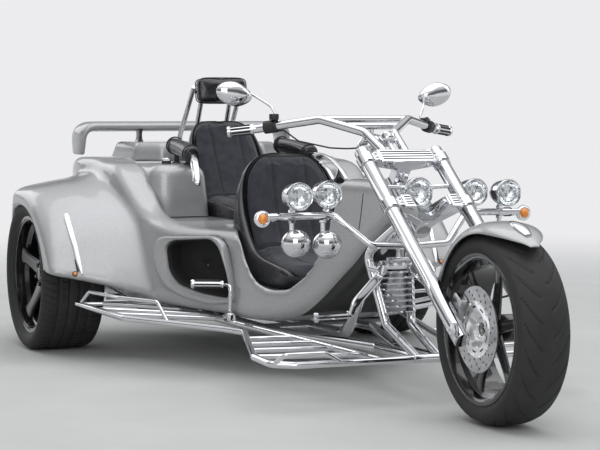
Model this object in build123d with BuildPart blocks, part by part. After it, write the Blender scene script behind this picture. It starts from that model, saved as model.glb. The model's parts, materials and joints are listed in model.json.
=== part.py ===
from build123d import *
from math import asin, cos, pi, radians, sin, tan
import os

os.makedirs("parts", exist_ok=True)

# Motorized trike: one raked front wheel, two wide rear wheels, two seats in line.
# Millimetres, +X forward, +Y to the left, +Z up, origin on the ground under the middle.
# Every x in this file is measured forward from the rear axle, every z from the ground.

# Driving dimensions
wheelbase = 2556
rear_overhang = 620
body_half_width = 925
front_tyre_radius = 315
front_tyre_width = 188
front_seat_radius = 216
front_bead_half = 76
rear_tyre_radius = 320
rear_tyre_width = 275
rear_seat_radius = 229
rear_bead_half = 107
track_half = body_half_width - 155
hub_inner = track_half - 210
rim_lip = 13
rim_flange = 7
rim_wall = 9
rake = 52.8
steer_offset = 100
pod_radius = 52
fork_spread = 145
fork_leg_radius = 24
fork_length = 965
fork_top_x = 1782
fork_top_height = 876
axle_radius = 12.5
spindle_radius = 20
rail_radius = 22
rail_height = 165
board_radius = 12.5
bar_radius = 16
seat_gap = 0.3
running_gap = 0.08
shell_gap = 0.8

rear_axle_x = rear_overhang - (rear_overhang + wheelbase + front_tyre_radius) / 2
across = Vector(0, 1, 0)
sides = (("right", -1), ("left", 1))


def at(x, y, z):
    return Vector(rear_axle_x + x, y, z)


def side_plane(y=0):
    # local x forward, local y up, looking to the left, extrudes to the right
    return Plane(origin=at(0, y, 0), x_dir=(1, 0, 0), z_dir=(0, -1, 0))


def cross_plane(x=0, y=0, z=0):
    # local x to the left, local y up, extrudes forward
    return Plane(origin=at(x, y, z), x_dir=(0, 1, 0), z_dir=(1, 0, 0))


def floor_plane(z=0):
    # local x forward, local y to the left, extrudes up
    return Plane(origin=at(0, 0, z), x_dir=(1, 0, 0), z_dir=(0, 0, 1))


down_fork = Vector(sin(radians(rake)), 0, -cos(radians(rake)))
ahead_fork = Vector(cos(radians(rake)), 0, sin(radians(rake)))


def fork_point(along, ahead, y=0):
    # along the legs from their top, ahead of the legs' plane
    return at(fork_top_x, y, fork_top_height) + down_fork * along + ahead_fork * ahead


def fork_plane(along, ahead=0, y=0):
    # local x ahead of the legs, local y to the right, extrudes down the legs
    return Plane(origin=fork_point(along, ahead, y), x_dir=ahead_fork, z_dir=down_fork)


def tube(points, radius, bend=0):
    # round tube of straight runs joined by arcs
    with BuildPart() as made:
        with BuildLine() as path:
            if len(points) > 2:
                FilletPolyline(*points, radius=bend)
            else:
                Line(*points)
        with BuildSketch(Plane(origin=path.line @ 0, z_dir=path.line % 0)):
            Circle(radius)
        sweep(path=path.line)
    return made.part


def run(y_sign, points):
    # a row of x, y, z points laid on one side
    return [at(x, y_sign * y, z) for x, y, z in points]


def cap_point(reach, rise, part):
    # a point on the round cap of that half width and height, from its tip (0) to its rim (1)
    radius = (reach ** 2 + rise ** 2) / (2 * rise)
    turn = asin(min(1, reach / radius)) * part
    if rise > reach:
        turn = (pi - asin(reach / radius)) * part
    return radius * (1 - cos(turn)), radius * sin(turn)


def save(made, name):
    made.part.label = name
    export_step(made.part, f"parts/{name}.step")


# Tyres and rims: u along the axle, v out from it
def tyre(centre, radius, width, seat_radius, bead_half):
    half = width / 2
    lip = seat_radius + rim_lip + 2
    shoulder = radius - width * 0.11
    with BuildPart() as made:
        with BuildSketch(Plane(origin=centre, x_dir=across, z_dir=(1, 0, 0))):
            with BuildLine():
                Polyline((bead_half, lip), (bead_half, seat_radius), (-bead_half, seat_radius), (-bead_half, lip))
                ThreePointArc((-bead_half, lip), (-half, (lip + shoulder) / 2), (-half * 0.93, shoulder))
                ThreePointArc((-half * 0.93, shoulder), (0, radius), (half * 0.93, shoulder))
                ThreePointArc((half * 0.93, shoulder), (half, (lip + shoulder) / 2), (bead_half, lip))
            make_face()
        revolve(axis=Axis(centre, across))
    return made


def rim(centre, seat_radius, bead_half, hub_radius, hub_half, bore, spokes, spoke_width, face, outward):
    # barrel with two flanges, a bored hub and tapered spokes near the outer face
    barrel = seat_radius - 0.2
    edge = bead_half + rim_flange
    flange = seat_radius + rim_lip
    well = barrel - rim_wall
    with BuildPart() as made:
        with BuildSketch(Plane(origin=centre, x_dir=across, z_dir=(1, 0, 0))):
            with BuildLine():
                Polyline(
                    (-bead_half - 0.2, barrel),
                    (bead_half + 0.2, barrel),
                    (bead_half + 0.2, flange),
                    (edge, flange),
                    (edge, well),
                    (-edge, well),
                    (-edge, flange),
                    (-bead_half - 0.2, flange),
                    close=True,
                )
            make_face()
        revolve(axis=Axis(centre, across))
        with BuildSketch(Plane(origin=centre - across * hub_half, x_dir=(1, 0, 0), z_dir=across)):
            Circle(hub_radius)
        extrude(amount=2 * hub_half)
        spoke_plane = Plane(origin=centre + across * outward * face, x_dir=(1, 0, 0), z_dir=across * -outward)
        with BuildSketch(spoke_plane):
            with PolarLocations(0, spokes):
                Polygon(
                    (hub_radius * 0.6, -spoke_width * 0.62),
                    (well + 2, -spoke_width * 0.36),
                    (well + 2, spoke_width * 0.36),
                    (hub_radius * 0.6, spoke_width * 0.62),
                    align=None,
                )
        extrude(amount=26)
        with BuildSketch(Plane(origin=centre - across * hub_half, x_dir=(1, 0, 0), z_dir=across)):
            Circle(bore)
        extrude(amount=2 * hub_half, mode=Mode.SUBTRACT)
    return made


front_centre = at(wheelbase, 0, front_tyre_radius)
front_hub_half = 58
disc_place = 88
front_tyre = tyre(front_centre, front_tyre_radius, front_tyre_width, front_seat_radius, front_bead_half)
front_rim = rim(front_centre, front_seat_radius, front_bead_half, 45, front_hub_half,
                axle_radius + running_gap, 6, 46, 40, -1)
save(front_tyre, "front_tyre")
save(front_rim, "front_rim")

# Brake disc: dished carrier from the hub's right end out to the drilled ring
disc_radius = 141
disc_band = 52
disc_thickness = 5
carrier_thickness = 6
with BuildPart() as brake_disc:
    with BuildSketch(Plane(origin=front_centre, x_dir=across, z_dir=(1, 0, 0))):
        with BuildLine():
            Polyline(
                (-front_hub_half - seat_gap, 22),
                (-front_hub_half - seat_gap, 44),
                (-disc_place + disc_thickness / 2, 62),
                (-disc_place + disc_thickness / 2, disc_radius),
                (-disc_place - disc_thickness / 2, disc_radius),
                (-disc_place - disc_thickness / 2, 60),
                (-front_hub_half - carrier_thickness - 4, 40),
                (-front_hub_half - carrier_thickness - 4, 22),
                close=True,
            )
        make_face()
    revolve(axis=Axis(front_centre, across))
save(brake_disc, "brake_disc")

# Rear wheels, one node for each tyre and rim
rear_hub_half = 60
for side, sign in sides:
    centre = at(0, sign * track_half, rear_tyre_radius)
    rear_tyre = tyre(centre, rear_tyre_radius, rear_tyre_width, rear_seat_radius, rear_bead_half)
    rear_rim = rim(centre, rear_seat_radius, rear_bead_half, 62, rear_hub_half,
                   spindle_radius + running_gap, 5, 66, 62, sign)
    save(rear_tyre, f"rear_tyre_{side}")
    save(rear_rim, f"rear_rim_{side}")

# Front fork: two chrome legs, axle lugs, the axle through the hub and its spacers
lug_radius = 30
lug_depth = 40
leg_end = fork_length
axle_reach = fork_spread + lug_depth / 2
with BuildPart() as fork_legs:
    for side, sign in sides:
        with BuildSketch(fork_plane(0, 0, sign * fork_spread)):
            Circle(fork_leg_radius)
        extrude(amount=leg_end)
        with BuildSketch(fork_plane(leg_end * 0.62, 0, sign * fork_spread)):
            Circle(fork_leg_radius + 4)
        extrude(amount=leg_end * 0.36)
        with BuildSketch(Plane(origin=front_centre + across * sign * (fork_spread - lug_depth / 2), z_dir=across * sign)):
            Circle(lug_radius)
        extrude(amount=lug_depth)
        with BuildSketch(Plane(origin=front_centre + across * sign * (front_hub_half + seat_gap), z_dir=across * sign)):
            Circle(axle_radius + 6)
        extrude(amount=fork_spread - front_hub_half - seat_gap)
    with BuildSketch(Plane(origin=front_centre - across * axle_reach, z_dir=across)):
        Circle(axle_radius)
    extrude(amount=2 * axle_reach)
save(fork_legs, "fork_legs")

# Clamps hold both legs, the steering stem runs between them inside the head tube
stem_radius = 16
top_clamp_from = 42
top_clamp_depth = 46
low_clamp_from = 292
low_clamp_depth = 44
head_radius = 27


def clamp(start, depth, front):
    # both leg sockets and the stem's boss, joined by a web that narrows to the boss
    web = fork_spread - 18
    with BuildPart() as made:
        with BuildSketch(fork_plane(start)):
            with Locations((0, fork_spread), (0, -fork_spread)):
                Circle(fork_leg_radius + 10)
            with Locations((-steer_offset, 0)):
                Circle(stem_radius + 14)
            Polygon((front, -web), (front, web), (-26, web), (-steer_offset - 12, 26), (-steer_offset - 12, -26),
                    (-26, -web), align=None)
        extrude(amount=depth)
        with BuildSketch(fork_plane(start)):
            with Locations((0, fork_spread), (0, -fork_spread)):
                Circle(fork_leg_radius + 0.2)
        extrude(amount=depth, mode=Mode.SUBTRACT)
    return made


top_clamp = clamp(top_clamp_from, top_clamp_depth, 30)
with BuildPart() as lower_clamp:
    add(clamp(low_clamp_from, low_clamp_depth, 30).part)
    with BuildSketch(fork_plane(top_clamp_from + top_clamp_depth + seat_gap, -steer_offset)):
        Circle(stem_radius)
    extrude(amount=low_clamp_from - top_clamp_from - top_clamp_depth - seat_gap)
save(top_clamp, "top_clamp")
save(lower_clamp, "lower_clamp")

# Handlebar: two risers from the top clamp, wide bends and two cross bars
riser_foot = fork_point(top_clamp_from - seat_gap, -23) - at(0, 0, 0)
riser_head = fork_point(-30, -23) - at(0, 0, 0)
cross_bar_height = 961
cross_bar_radius = 13
bar_run = (
    (riser_foot.X, 44, riser_foot.Z),
    (riser_head.X, 44, riser_head.Z),
    (1627, 59, cross_bar_height - 23),
    (1495, 180, cross_bar_height + 24),
    (1336, 364, cross_bar_height - 11),
    (1284, 458, cross_bar_height - 23),
)
with BuildPart() as handlebar:
    for side, sign in sides:
        add(tube(run(sign, bar_run), bar_radius, 45))
    add(tube((at(1495, -182, bar_run[3][2]), at(1495, 182, bar_run[3][2])), bar_radius - 2))
    add(tube((at(1560, -121, cross_bar_height), at(1560, 121, cross_bar_height)), cross_bar_radius))
save(handlebar, "handlebar")

with BuildPart() as grips:
    for side, sign in sides:
        knee, tip = run(sign, bar_run[-2:])
        reach = tip - knee
        with BuildSketch(Plane(origin=knee + reach * 0.12, z_dir=reach)):
            Circle(19)
            Circle(bar_radius + 0.2, mode=Mode.SUBTRACT)
        extrude(amount=reach.length * 0.92)
save(grips, "grips")

# Switch and brake housings clamped on the bar inside the grips
housing_length = 40
with BuildPart() as hand_controls:
    for side, sign in sides:
        bend, knee = run(sign, bar_run[-3:-1])
        reach = knee - bend
        with BuildSketch(Plane(origin=bend + reach * 0.72, z_dir=reach)):
            Circle(24)
            Circle(bar_radius + 0.2, mode=Mode.SUBTRACT)
        extrude(amount=housing_length)
save(hand_controls, "hand_controls")

# Throttle cable, held from the right housing to the gauge pod
cable_radius = 3
with BuildPart() as throttle_cable:
    add(tube((at(1382.7, -309.5, cross_bar_height - 20.4), at(1404, -285, cross_bar_height - 16), at(1436, -240, 905), at(1500, -140, 880),
              at(1556, -100, 878), at(1560, -pod_radius - seat_gap, 880)), cable_radius, 14))
save(throttle_cable, "throttle_cable")

# Mirrors: cranked stems on the bar, oval domed heads facing back
# Columns: x, y, height above the cross bar
mirror_stem = ((1377.2, 300.8, 12.8), (1365, 293.8, 30.4), (1350, 318, 75), (1285, 372, 115))
with BuildPart() as mirrors:
    for side, sign in sides:
        stem = run(sign, [(x, y, cross_bar_height + rise) for x, y, rise in mirror_stem])
        add(tube(stem, 6, 8))
        with BuildSketch(Plane(origin=at(1262, sign * 419, cross_bar_height + 116), x_dir=across, z_dir=(1, 0, 0.12))):
            Ellipse(68, 46)
        extrude(amount=30, taper=28)
save(mirrors, "mirrors")

# Lamps: a revolved shell about the lamp's own axis, with a seat for its lens
def lamp_shell(centre, facing, radius, depth, seat):
    with BuildPart() as made:
        with BuildSketch(Plane(origin=centre, x_dir=facing, z_dir=Vector(facing).cross(Vector(0, 0, 1)))):
            with BuildLine():
                Polyline((-depth, 0), (-depth, radius * 0.3))
                ThreePointArc((-depth, radius * 0.3), (-depth * 0.72, radius * 0.78), (-depth * 0.36, radius * 0.97))
                Polyline((-depth * 0.36, radius * 0.97), (-4, radius * 0.97), (-4, radius + 3), (0, radius + 3),
                         (0, radius - 4), (-seat, radius - 4), (-seat, 0), (-depth, 0))
            make_face()
        revolve(axis=Axis(centre, facing))
    return made.part


def lamp_lens(centre, facing, radius, seat):
    with BuildPart() as made:
        with BuildSketch(Plane(origin=centre, x_dir=facing, z_dir=Vector(facing).cross(Vector(0, 0, 1)))):
            with BuildLine():
                rim_reach = radius - 4 - seat_gap
                sag, out = cap_point(rim_reach, 7, 0.5)
                Polyline((4, 0), (-seat + seat_gap, 0), (-seat + seat_gap, rim_reach), (-3, rim_reach))
                ThreePointArc((-3, rim_reach), (4 - sag, out), (4, 0))
            make_face()
        revolve(axis=Axis(centre, facing))
    return made.part


forward = Vector(1, 0, 0)
lens_seat = 14
head_lamp_place = at(1959, 0, 731)
lamp_radius = 52
ear_radius = 8
with BuildPart() as head_lamp:
    add(lamp_shell(head_lamp_place, forward, lamp_radius, 68, lens_seat))
    for side, sign in sides:
        leg_face = fork_spread - fork_leg_radius - seat_gap - 1.2
        add(tube(run(sign, ((1931, lamp_radius - 14, 748), (1945, leg_face, 752.3))), ear_radius))
with BuildPart() as head_lens:
    add(lamp_lens(head_lamp_place, forward, lamp_radius, lens_seat))
save(head_lamp, "head_lamp")
save(head_lens, "head_lens")

# Front fender: a curved sheet round the tyre, carried by a tab from each leg
fender_centre = at(wheelbase + 16, 0, front_tyre_radius + 12)
fender_crown = 338
fender_half = 111
fender_droop = 58
fender_sheet = 4
fender_from = 55
fender_sweep = 104
start_dir = Vector(cos(radians(fender_from)), 0, sin(radians(fender_from)))

fender_foot = fender_crown - fender_droop
fender_edge = fender_foot + 18
fender_skins = (
    (fender_half, fender_crown, fender_foot, Mode.ADD),
    (fender_half - fender_sheet, fender_crown - fender_sheet, fender_foot - 2, Mode.SUBTRACT),
)
with BuildPart() as front_fender:
    with BuildSketch(Plane(origin=fender_centre, x_dir=across, z_dir=across.cross(start_dir))):
        for half, crown, foot, mode in fender_skins:
            with BuildLine():
                Polyline((-half, fender_edge), (-half, foot), (half, foot), (half, fender_edge))
                ThreePointArc((half, fender_edge), (half * 0.88, crown - 18), (half * 0.6, crown - 7))
                ThreePointArc((half * 0.6, crown - 7), (0, crown), (-half * 0.6, crown - 7))
                ThreePointArc((-half * 0.6, crown - 7), (-half * 0.88, crown - 18), (-half, fender_edge))
            make_face(mode=mode)
    revolve(axis=Axis(fender_centre, (0, -1, 0)), revolution_arc=fender_sweep)
    for side, sign in sides:
        inner_face = fork_spread - fork_leg_radius - 4 - seat_gap
        with BuildSketch(Plane(origin=fork_point(632, 0, sign * inner_face), x_dir=down_fork, z_dir=across * -sign)):
            RectangleRounded(56, 22, 6)
        extrude(amount=inner_face - fender_half + 2)
save(front_fender, "front_fender")

# Gauge pod behind the top clamp, hung from the lower cross bar
pod_place = at(1560, 0, cross_bar_height - 81)
pod_axis = Vector(-0.82, 0, 0.57)
with BuildPart() as gauge_pod:
    with BuildSketch(Plane(origin=pod_place, x_dir=pod_axis, z_dir=pod_axis.cross(across))):
        with BuildLine():
            sag, out = cap_point(pod_radius, 40, 0.5)
            Polyline((-40, 0), (12, 0), (12, pod_radius - 8), (16, pod_radius - 6), (16, pod_radius), (0, pod_radius))
            ThreePointArc((0, pod_radius), (sag - 40, out), (-40, 0))
        make_face()
    revolve(axis=Axis(pod_place, pod_axis))
    add(tube((at(1560, 0, cross_bar_height - 61), at(1560, 0, cross_bar_height - cross_bar_radius - seat_gap)), 9))
save(gauge_pod, "gauge_pod")

# Small clock in a cup between the risers, on a post from the top clamp
cup_place = at(1700, 0, 912)
cup_axis = Vector(-0.7, 0, 0.72)
cup_radius = 30
with BuildPart() as riser_clock:
    with BuildSketch(Plane(origin=cup_place, x_dir=cup_axis, z_dir=cup_axis.cross(across))):
        with BuildLine():
            Polyline((-18, 0), (-18, cup_radius - 8), (-6, cup_radius), (14, cup_radius), (14, cup_radius - 4),
                     (10, cup_radius - 4), (10, 0), close=True)
        make_face()
    revolve(axis=Axis(cup_place, cup_axis))
    post_foot = fork_point(top_clamp_from - seat_gap, -23)
    add(tube((post_foot, fork_point(-72, -23)), 9))
save(riser_clock, "riser_clock")

# Brake hose held behind the right leg, from the lower clamp to the caliper
hose_radius = 5
hose_run = (
    fork_point(low_clamp_from + low_clamp_depth + 1, -34, -118),
    fork_point(440, -38, -134),
    fork_point(700, -42, -134),
    fork_point(757, -22, -106),
    fork_point(788, 0, -100),
)
with BuildPart() as brake_hose:
    add(tube(hose_run, hose_radius, 24))
save(brake_hose, "brake_hose")

# Brake caliper astride the disc behind the right leg, with a boss to the leg
caliper_angle = 150
caliper_reach = 116
caliper_out = Vector(cos(radians(caliper_angle)), 0, sin(radians(caliper_angle)))
caliper_in = 68
caliper_outer = fork_spread - fork_leg_radius - 4 - seat_gap
with BuildPart() as brake_caliper:
    with BuildSketch(Plane(origin=front_centre + caliper_out * caliper_reach - across * caliper_outer,
                           x_dir=caliper_out, z_dir=across)):
        RectangleRounded(58, 104, 16)
    extrude(amount=caliper_outer - caliper_in)
    with BuildSketch(Plane(origin=front_centre - across * (disc_place + disc_thickness / 2 + 2), z_dir=across)):
        Circle(disc_radius + 5)
    extrude(amount=disc_thickness + 4, mode=Mode.SUBTRACT)
save(brake_caliper, "brake_caliper")

# Body shell: a lofted tub, a lofted nose, two lofted fenders, with seats, arches and
# side pockets cut out. Columns: x, sill half width, shoulder half width, sill, top, radii
tub_sections = (
    (-560, 500, 470, 330, 800, 40, 50),
    (-430, 585, 560, 262, 803, 40, 50),
    (0, 600, 575, 250, 806, 40, 50),
    (230, 600, 570, 250, 770, 40, 50),
    (450, 598, 530, 250, 620, 40, 50),
    (650, 565, 490, 250, 568, 40, 50),
    (1000, 385, 350, 226, 548, 40, 50),
    (1340, 230, 200, 208, 540, 40, 50),
)
nose_sections = (
    (1200, 285, 215, 210, 690, 40, 50),
    (1420, 180, 140, 272, 762, 40, 50),
    (1700, 135, 105, 470, 768, 34, 40),
    (1900, 100, 80, 612, 768, 24, 30),
)
# Columns: y, rear foot, rear top height, crest x, crest height, front top x and height, foot x, sill
fender_sections = (
    (body_half_width - 385, -520, 560, -60, 812, 400, 660, 640, 275),
    (body_half_width - 325, -512, 552, -58, 768, 400, 618, 600, 288),
    (body_half_width - 185, -490, 520, -50, 722, 400, 566, 540, 322),
    (body_half_width, -440, 470, -20, 674, 385, 505, 470, 352),
)
shell_floor = 570
arch_radius = 400
arch_height = 220
arch_clearance = 16
arch_lip = 11
arch_inner = track_half - 220
pocket_slope = 24.4
pocket_depth = 110
engine_bay = (-525, 470, 553, 560)
seat_cut = ((705, 580), (800, 434), (975, 340), (1225, 330), (1282, 375), (1415, 775), (1415, 1000), (705, 1000))
lap_outer = ((1100, 1000), (1100, 560), (1130, 450), (1180, 388), (1252, 345), (1330, 358), (1380, 400), (1440, 1000))
lap_inner = ((800, 1000), (800, 560), (870, 405), (975, 350), (1110, 325), (1255, 345), (1320, 400), (1420, 1000))
lap_reach = 420
pocket_outline = ((-189, 476), (-148, 504), (68, 519), (110, 490), (162, 375), (172, 294), (14, 306), (-116, 332), (-170, 378))
frame_runs = (
    (rail_radius, 90, ((1868, 0, 678), (1560, 0, 440), (1330, 0, rail_height), (-480, 0, rail_height))),
    (rail_radius - 6, 40, ((1905, 22, 640), (1700, 82, 500), (1795, 50, 250), (2041, 42, 157))),
    (rail_radius - 6, 40, ((1905, -22, 640), (1700, -82, 500), (1795, -50, 250), (2041, -42, 157))),
)


def loft_part(sections):
    with BuildPart() as made:
        for x, sill_half, top_half, sill, top, sill_round, top_round in sections:
            with BuildSketch(cross_plane(x)):
                with BuildLine():
                    Polyline((-sill_half, sill), (sill_half, sill), (top_half, top), (-top_half, top), close=True)
                corners = make_face().vertices()
                fillet(corners.sort_by(Axis.Z)[:2], sill_round)
                fillet(corners.sort_by(Axis.Z)[2:], top_round)
        loft()
    return made.part


def fender_part(sign):
    with BuildPart() as made:
        for y, rear, rear_top, crest_x, crest, front, front_top, foot, sill in fender_sections:
            with BuildSketch(side_plane(sign * y)):
                with BuildLine():
                    Line((rear, sill), (rear, rear_top))
                    ThreePointArc((rear, rear_top), (crest_x, crest), (front, front_top))
                    Line((front, front_top), (foot, sill))
                    Line((foot, sill), (rear, sill))
                make_face()
        loft()
    return made.part


def wall_cut(outline, half):
    # an outline seen from the side, cut right across
    with BuildPart() as made:
        with BuildSketch(side_plane()):
            with BuildLine():
                Polyline(*outline, close=True)
            make_face()
        extrude(amount=half, both=True)
    return made.part


def lap_part(sign):
    # the side well: its outline runs back from the flank to the seat
    with BuildPart() as made:
        for outline, reach in ((lap_inner, 240), (lap_outer, lap_reach)):
            with BuildSketch(side_plane(sign * reach)):
                with BuildLine():
                    Polyline(*outline, close=True)
                make_face()
        loft(ruled=True)
    return made.part


def frame_part(extra):
    with BuildPart() as made:
        for radius, bend, points in frame_runs:
            add(tube(run(1, points), radius + extra, bend))
        with BuildSketch(fork_plane(top_clamp_from + top_clamp_depth + 2, -steer_offset)):
            Circle(head_radius + extra)
        extrude(amount=low_clamp_from - top_clamp_from - top_clamp_depth - 4)
    return made.part


fenders = [fender_part(sign) for side, sign in sides]
seat_well = wall_cut(seat_cut, 262)
lap_wells = [lap_part(sign) for side, sign in sides]
frame_room = frame_part(shell_gap)
with BuildPart() as body_shell:
    add(loft_part(tub_sections))
    add(loft_part(nose_sections))
    split(bisect_by=Plane(origin=fork_point(0, -steer_offset - head_radius - 10), z_dir=ahead_fork), keep=Keep.BOTTOM)
    add(fenders)
    add(seat_well, mode=Mode.SUBTRACT)
    add(lap_wells, mode=Mode.SUBTRACT)
    add(frame_room, mode=Mode.SUBTRACT)
    with BuildSketch(floor_plane(shell_floor)):
        with Locations((330, 0)):
            Rectangle(780, 866)
    extrude(amount=400, mode=Mode.SUBTRACT)
    with BuildSketch(floor_plane(795)):
        with Locations((-330, 0)):
            Rectangle(560, 790)
    extrude(amount=100, mode=Mode.SUBTRACT)
    with BuildSketch(floor_plane(100)):
        with Locations(((engine_bay[0] + engine_bay[1]) / 2, 0)):
            Rectangle(engine_bay[1] - engine_bay[0], 2 * engine_bay[2])
    extrude(amount=engine_bay[3] - 100, mode=Mode.SUBTRACT)
    for side, sign in sides:
        with BuildSketch(Plane(origin=at(0, sign * arch_inner, arch_height), x_dir=(1, 0, 0), z_dir=across * sign)):
            Circle(arch_radius)
        extrude(amount=500, mode=Mode.SUBTRACT)
        with BuildSketch(Plane(origin=at(0, sign * arch_inner, rear_tyre_radius), x_dir=(1, 0, 0), z_dir=across * sign)):
            Circle(rear_tyre_radius + arch_clearance)
        extrude(amount=body_half_width - arch_lip - arch_inner, mode=Mode.SUBTRACT)
        slope = radians(pocket_slope)
        outward = Vector(sin(slope), sign * cos(slope), 0)
        pocket_face = Plane(origin=at(930, sign * 452, 395), x_dir=(cos(slope), -sign * sin(slope), 0), z_dir=outward)
        if sign > 0:
            pocket_face = Plane(origin=pocket_face.origin, x_dir=-pocket_face.x_dir, z_dir=outward)
        with BuildSketch(pocket_face.offset(60)):
            with BuildLine():
                Polyline(*[(-sign * s, z - 395) for s, z in pocket_outline], close=True)
            opening = make_face()
            fillet(opening.vertices(), 24)
        extrude(amount=-60 - pocket_depth, mode=Mode.SUBTRACT)
save(body_shell, "body_shell")

# Rear cover and its wing on two pylons
cover_seat = 795
cover_height = 80
with BuildPart() as rear_cover:
    with BuildSketch(floor_plane(cover_seat + seat_gap)):
        with BuildLine():
            Polyline((-545, -380), (-200, -380), (-105, -290), (-105, 290), (-200, 380), (-545, 380), close=True)
        outline = make_face()
        fillet(outline.vertices(), 30)
    extrude(amount=cover_height, taper=16)
    fillet(rear_cover.faces().sort_by(Axis.Z)[-1].edges(), 18)
save(rear_cover, "rear_cover")

wing_nose = -440
wing_height = 962
wing_half = 560
wing_run = (
    (wing_nose - 90, wing_half, wing_height - 122),
    (wing_nose - 90, wing_half, wing_height - 19),
    (wing_nose - 90, -wing_half, wing_height - 19),
    (wing_nose - 90, -wing_half, wing_height - 122),
)
with BuildPart() as rear_wing:
    with BuildLine() as wing_path:
        FilletPolyline(*run(1, wing_run), radius=70)
    with BuildSketch(Plane(origin=wing_path.line @ 0, x_dir=(1, 0, 0), z_dir=wing_path.line % 0)):
        Ellipse(90, 19)
    sweep(path=wing_path.line)
save(rear_wing, "rear_wing")

pylon_half = 230
cover_top = cover_seat + seat_gap + cover_height
wing_under = wing_height - 38
with BuildPart() as wing_pylons:
    for side, sign in sides:
        with BuildSketch(Plane(origin=at(wing_nose - 40, sign * pylon_half, cover_top + seat_gap), x_dir=(1, 0, 0), z_dir=(0, 0, 1))):
            Ellipse(34, 9)
        extrude(amount=wing_under - cover_top - 2 * seat_gap)
save(wing_pylons, "wing_pylons")

# Side boxes stand on the shell's floor, one each side of the passenger seat
box_inner = 200
box_outer = 425
box_front = 368
box_rear = -52
box_height = 220
box_taper = 6
for side, sign in sides:
    with BuildPart() as side_box:
        with BuildSketch(floor_plane(shell_floor + seat_gap)):
            with Locations(((box_front + box_rear) / 2, sign * (box_inner + box_outer) / 2)):
                RectangleRounded(box_front - box_rear, box_outer - box_inner, 30)
        extrude(amount=box_height, taper=box_taper)
        fillet(side_box.faces().sort_by(Axis.Z)[-1].edges(), 22)
    save(side_box, f"side_box_{side}")

with BuildPart() as filler_cap:
    with BuildSketch(floor_plane(shell_floor + 2 * seat_gap + box_height)):
        with Locations((150, -310)):
            Circle(26)
    extrude(amount=16, taper=8)
save(filler_cap, "filler_cap")


# Rear face: round tail lamps and a blank plate on its holder
rear_face = -560
with BuildPart() as tail_lamps:
    for side, sign in sides:
        for y in (300, 410):
            with BuildSketch(Plane(origin=at(rear_face - seat_gap, sign * y, 640), z_dir=(-1, 0, 0))):
                Circle(44)
            extrude(amount=24, taper=14)
save(tail_lamps, "tail_lamps")
with BuildPart() as plate_holder:
    with BuildSketch(Plane(origin=at(rear_face - seat_gap, 0, 600), x_dir=across, z_dir=(-1, 0, 0))):
        RectangleRounded(300, 220, 14)
    extrude(amount=10)
save(plate_holder, "plate_holder")

# Seats: a shell with raised sides, and an upholstered pad between them
# Outlines seen from the front: half width and height, from the top's middle down one side
driver_shape = ((0, 845), (70, 843), (118, 828), (155, 795), (187, 740), (222, 655), (240, 605), (245, 560), (245, 300))
driver_pad_shape = ((0, 835), (60, 832), (98, 814), (124, 782), (146, 735), (172, 655), (185, 605), (188, 560), (188, 300))
rider_shape = ((0, 970), (72, 966), (118, 944), (148, 905), (168, 850), (184, 780), (190, 710), (190, 500))
rider_pad_shape = ((0, 960), (60, 956), (92, 936), (114, 900), (132, 850), (144, 780), (148, 710), (148, 500))


def keep_inside(shape):
    # the front outline, both halves, run forward through the seat
    with BuildPart() as made:
        with BuildSketch(cross_plane(-200)):
            with BuildLine():
                Polyline(*shape, *[(-y, z) for y, z in reversed(shape[1:])], close=True)
            make_face()
        extrude(amount=1700)
    return made.part


def seat_shell(profile, cheek, half, cheek_width, shape):
    with BuildPart() as made:
        with BuildSketch(side_plane()):
            with BuildLine():
                Polyline(*profile, close=True)
            make_face()
        extrude(amount=half, both=True)
        for side, sign in sides:
            with BuildSketch(side_plane(sign * (half - cheek_width / 2))):
                with BuildLine():
                    Polyline(*cheek, close=True)
                make_face()
            extrude(amount=cheek_width / 2, both=True)
        add(keep_inside(shape), mode=Mode.INTERSECT)
    return made


driver_seat = seat_shell(
    ((664, 800), (690, 838), (712, 840), (775, 590), (850, 455), (980, 398), (1200, 392), (1272, 404),
     (1278, 384), (1223, 330.5), (979, 340.2), (804, 440), (709, 583)),
    ((664, 800), (690, 838), (722, 836), (800, 640), (880, 520), (1010, 455), (1180, 420), (1272, 404),
     (1278, 384), (1223, 330.5), (979, 340.2), (804, 440), (709, 583)), 245, 55, driver_shape)
save(driver_seat, "driver_seat_shell")
driver_pad_profile = (
    (716, 830), (740, 812), (812, 612), (884, 492), (996, 440), (1190, 428), (1262, 408), (1200, 393), (980, 399), (851, 456), (776, 591),
)
with BuildPart() as driver_seat_pad:
    with BuildSketch(side_plane()):
        with BuildLine():
            Polyline(*driver_pad_profile, close=True)
        make_face()
    extrude(amount=188, both=True)
    add(keep_inside(driver_pad_shape), mode=Mode.INTERSECT)
save(driver_seat_pad, "driver_seat_pad")

passenger_seat = seat_shell(
    ((-50, 930), (-36, 962), (-12, 965), (165, 625), (590, 604), (612, 590), (608, shell_floor + seat_gap), (60, shell_floor + seat_gap)),
    ((-50, 930), (-36, 962), (0, 960), (205, 690), (560, 625), (612, 590), (608, shell_floor + seat_gap), (60, shell_floor + seat_gap)), 190, 40, rider_shape)
save(passenger_seat, "passenger_seat_shell")
with BuildPart() as passenger_seat_pad:
    with BuildSketch(side_plane()):
        with BuildLine():
            Polyline((-8, 958), (22, 940), (196, 660), (560, 636), (592, 612), (588, 605), (167, 626), close=True)
        make_face()
    extrude(amount=148, both=True)
    add(keep_inside(rider_pad_shape), mode=Mode.INTERSECT)
save(passenger_seat_pad, "passenger_seat_pad")

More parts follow.
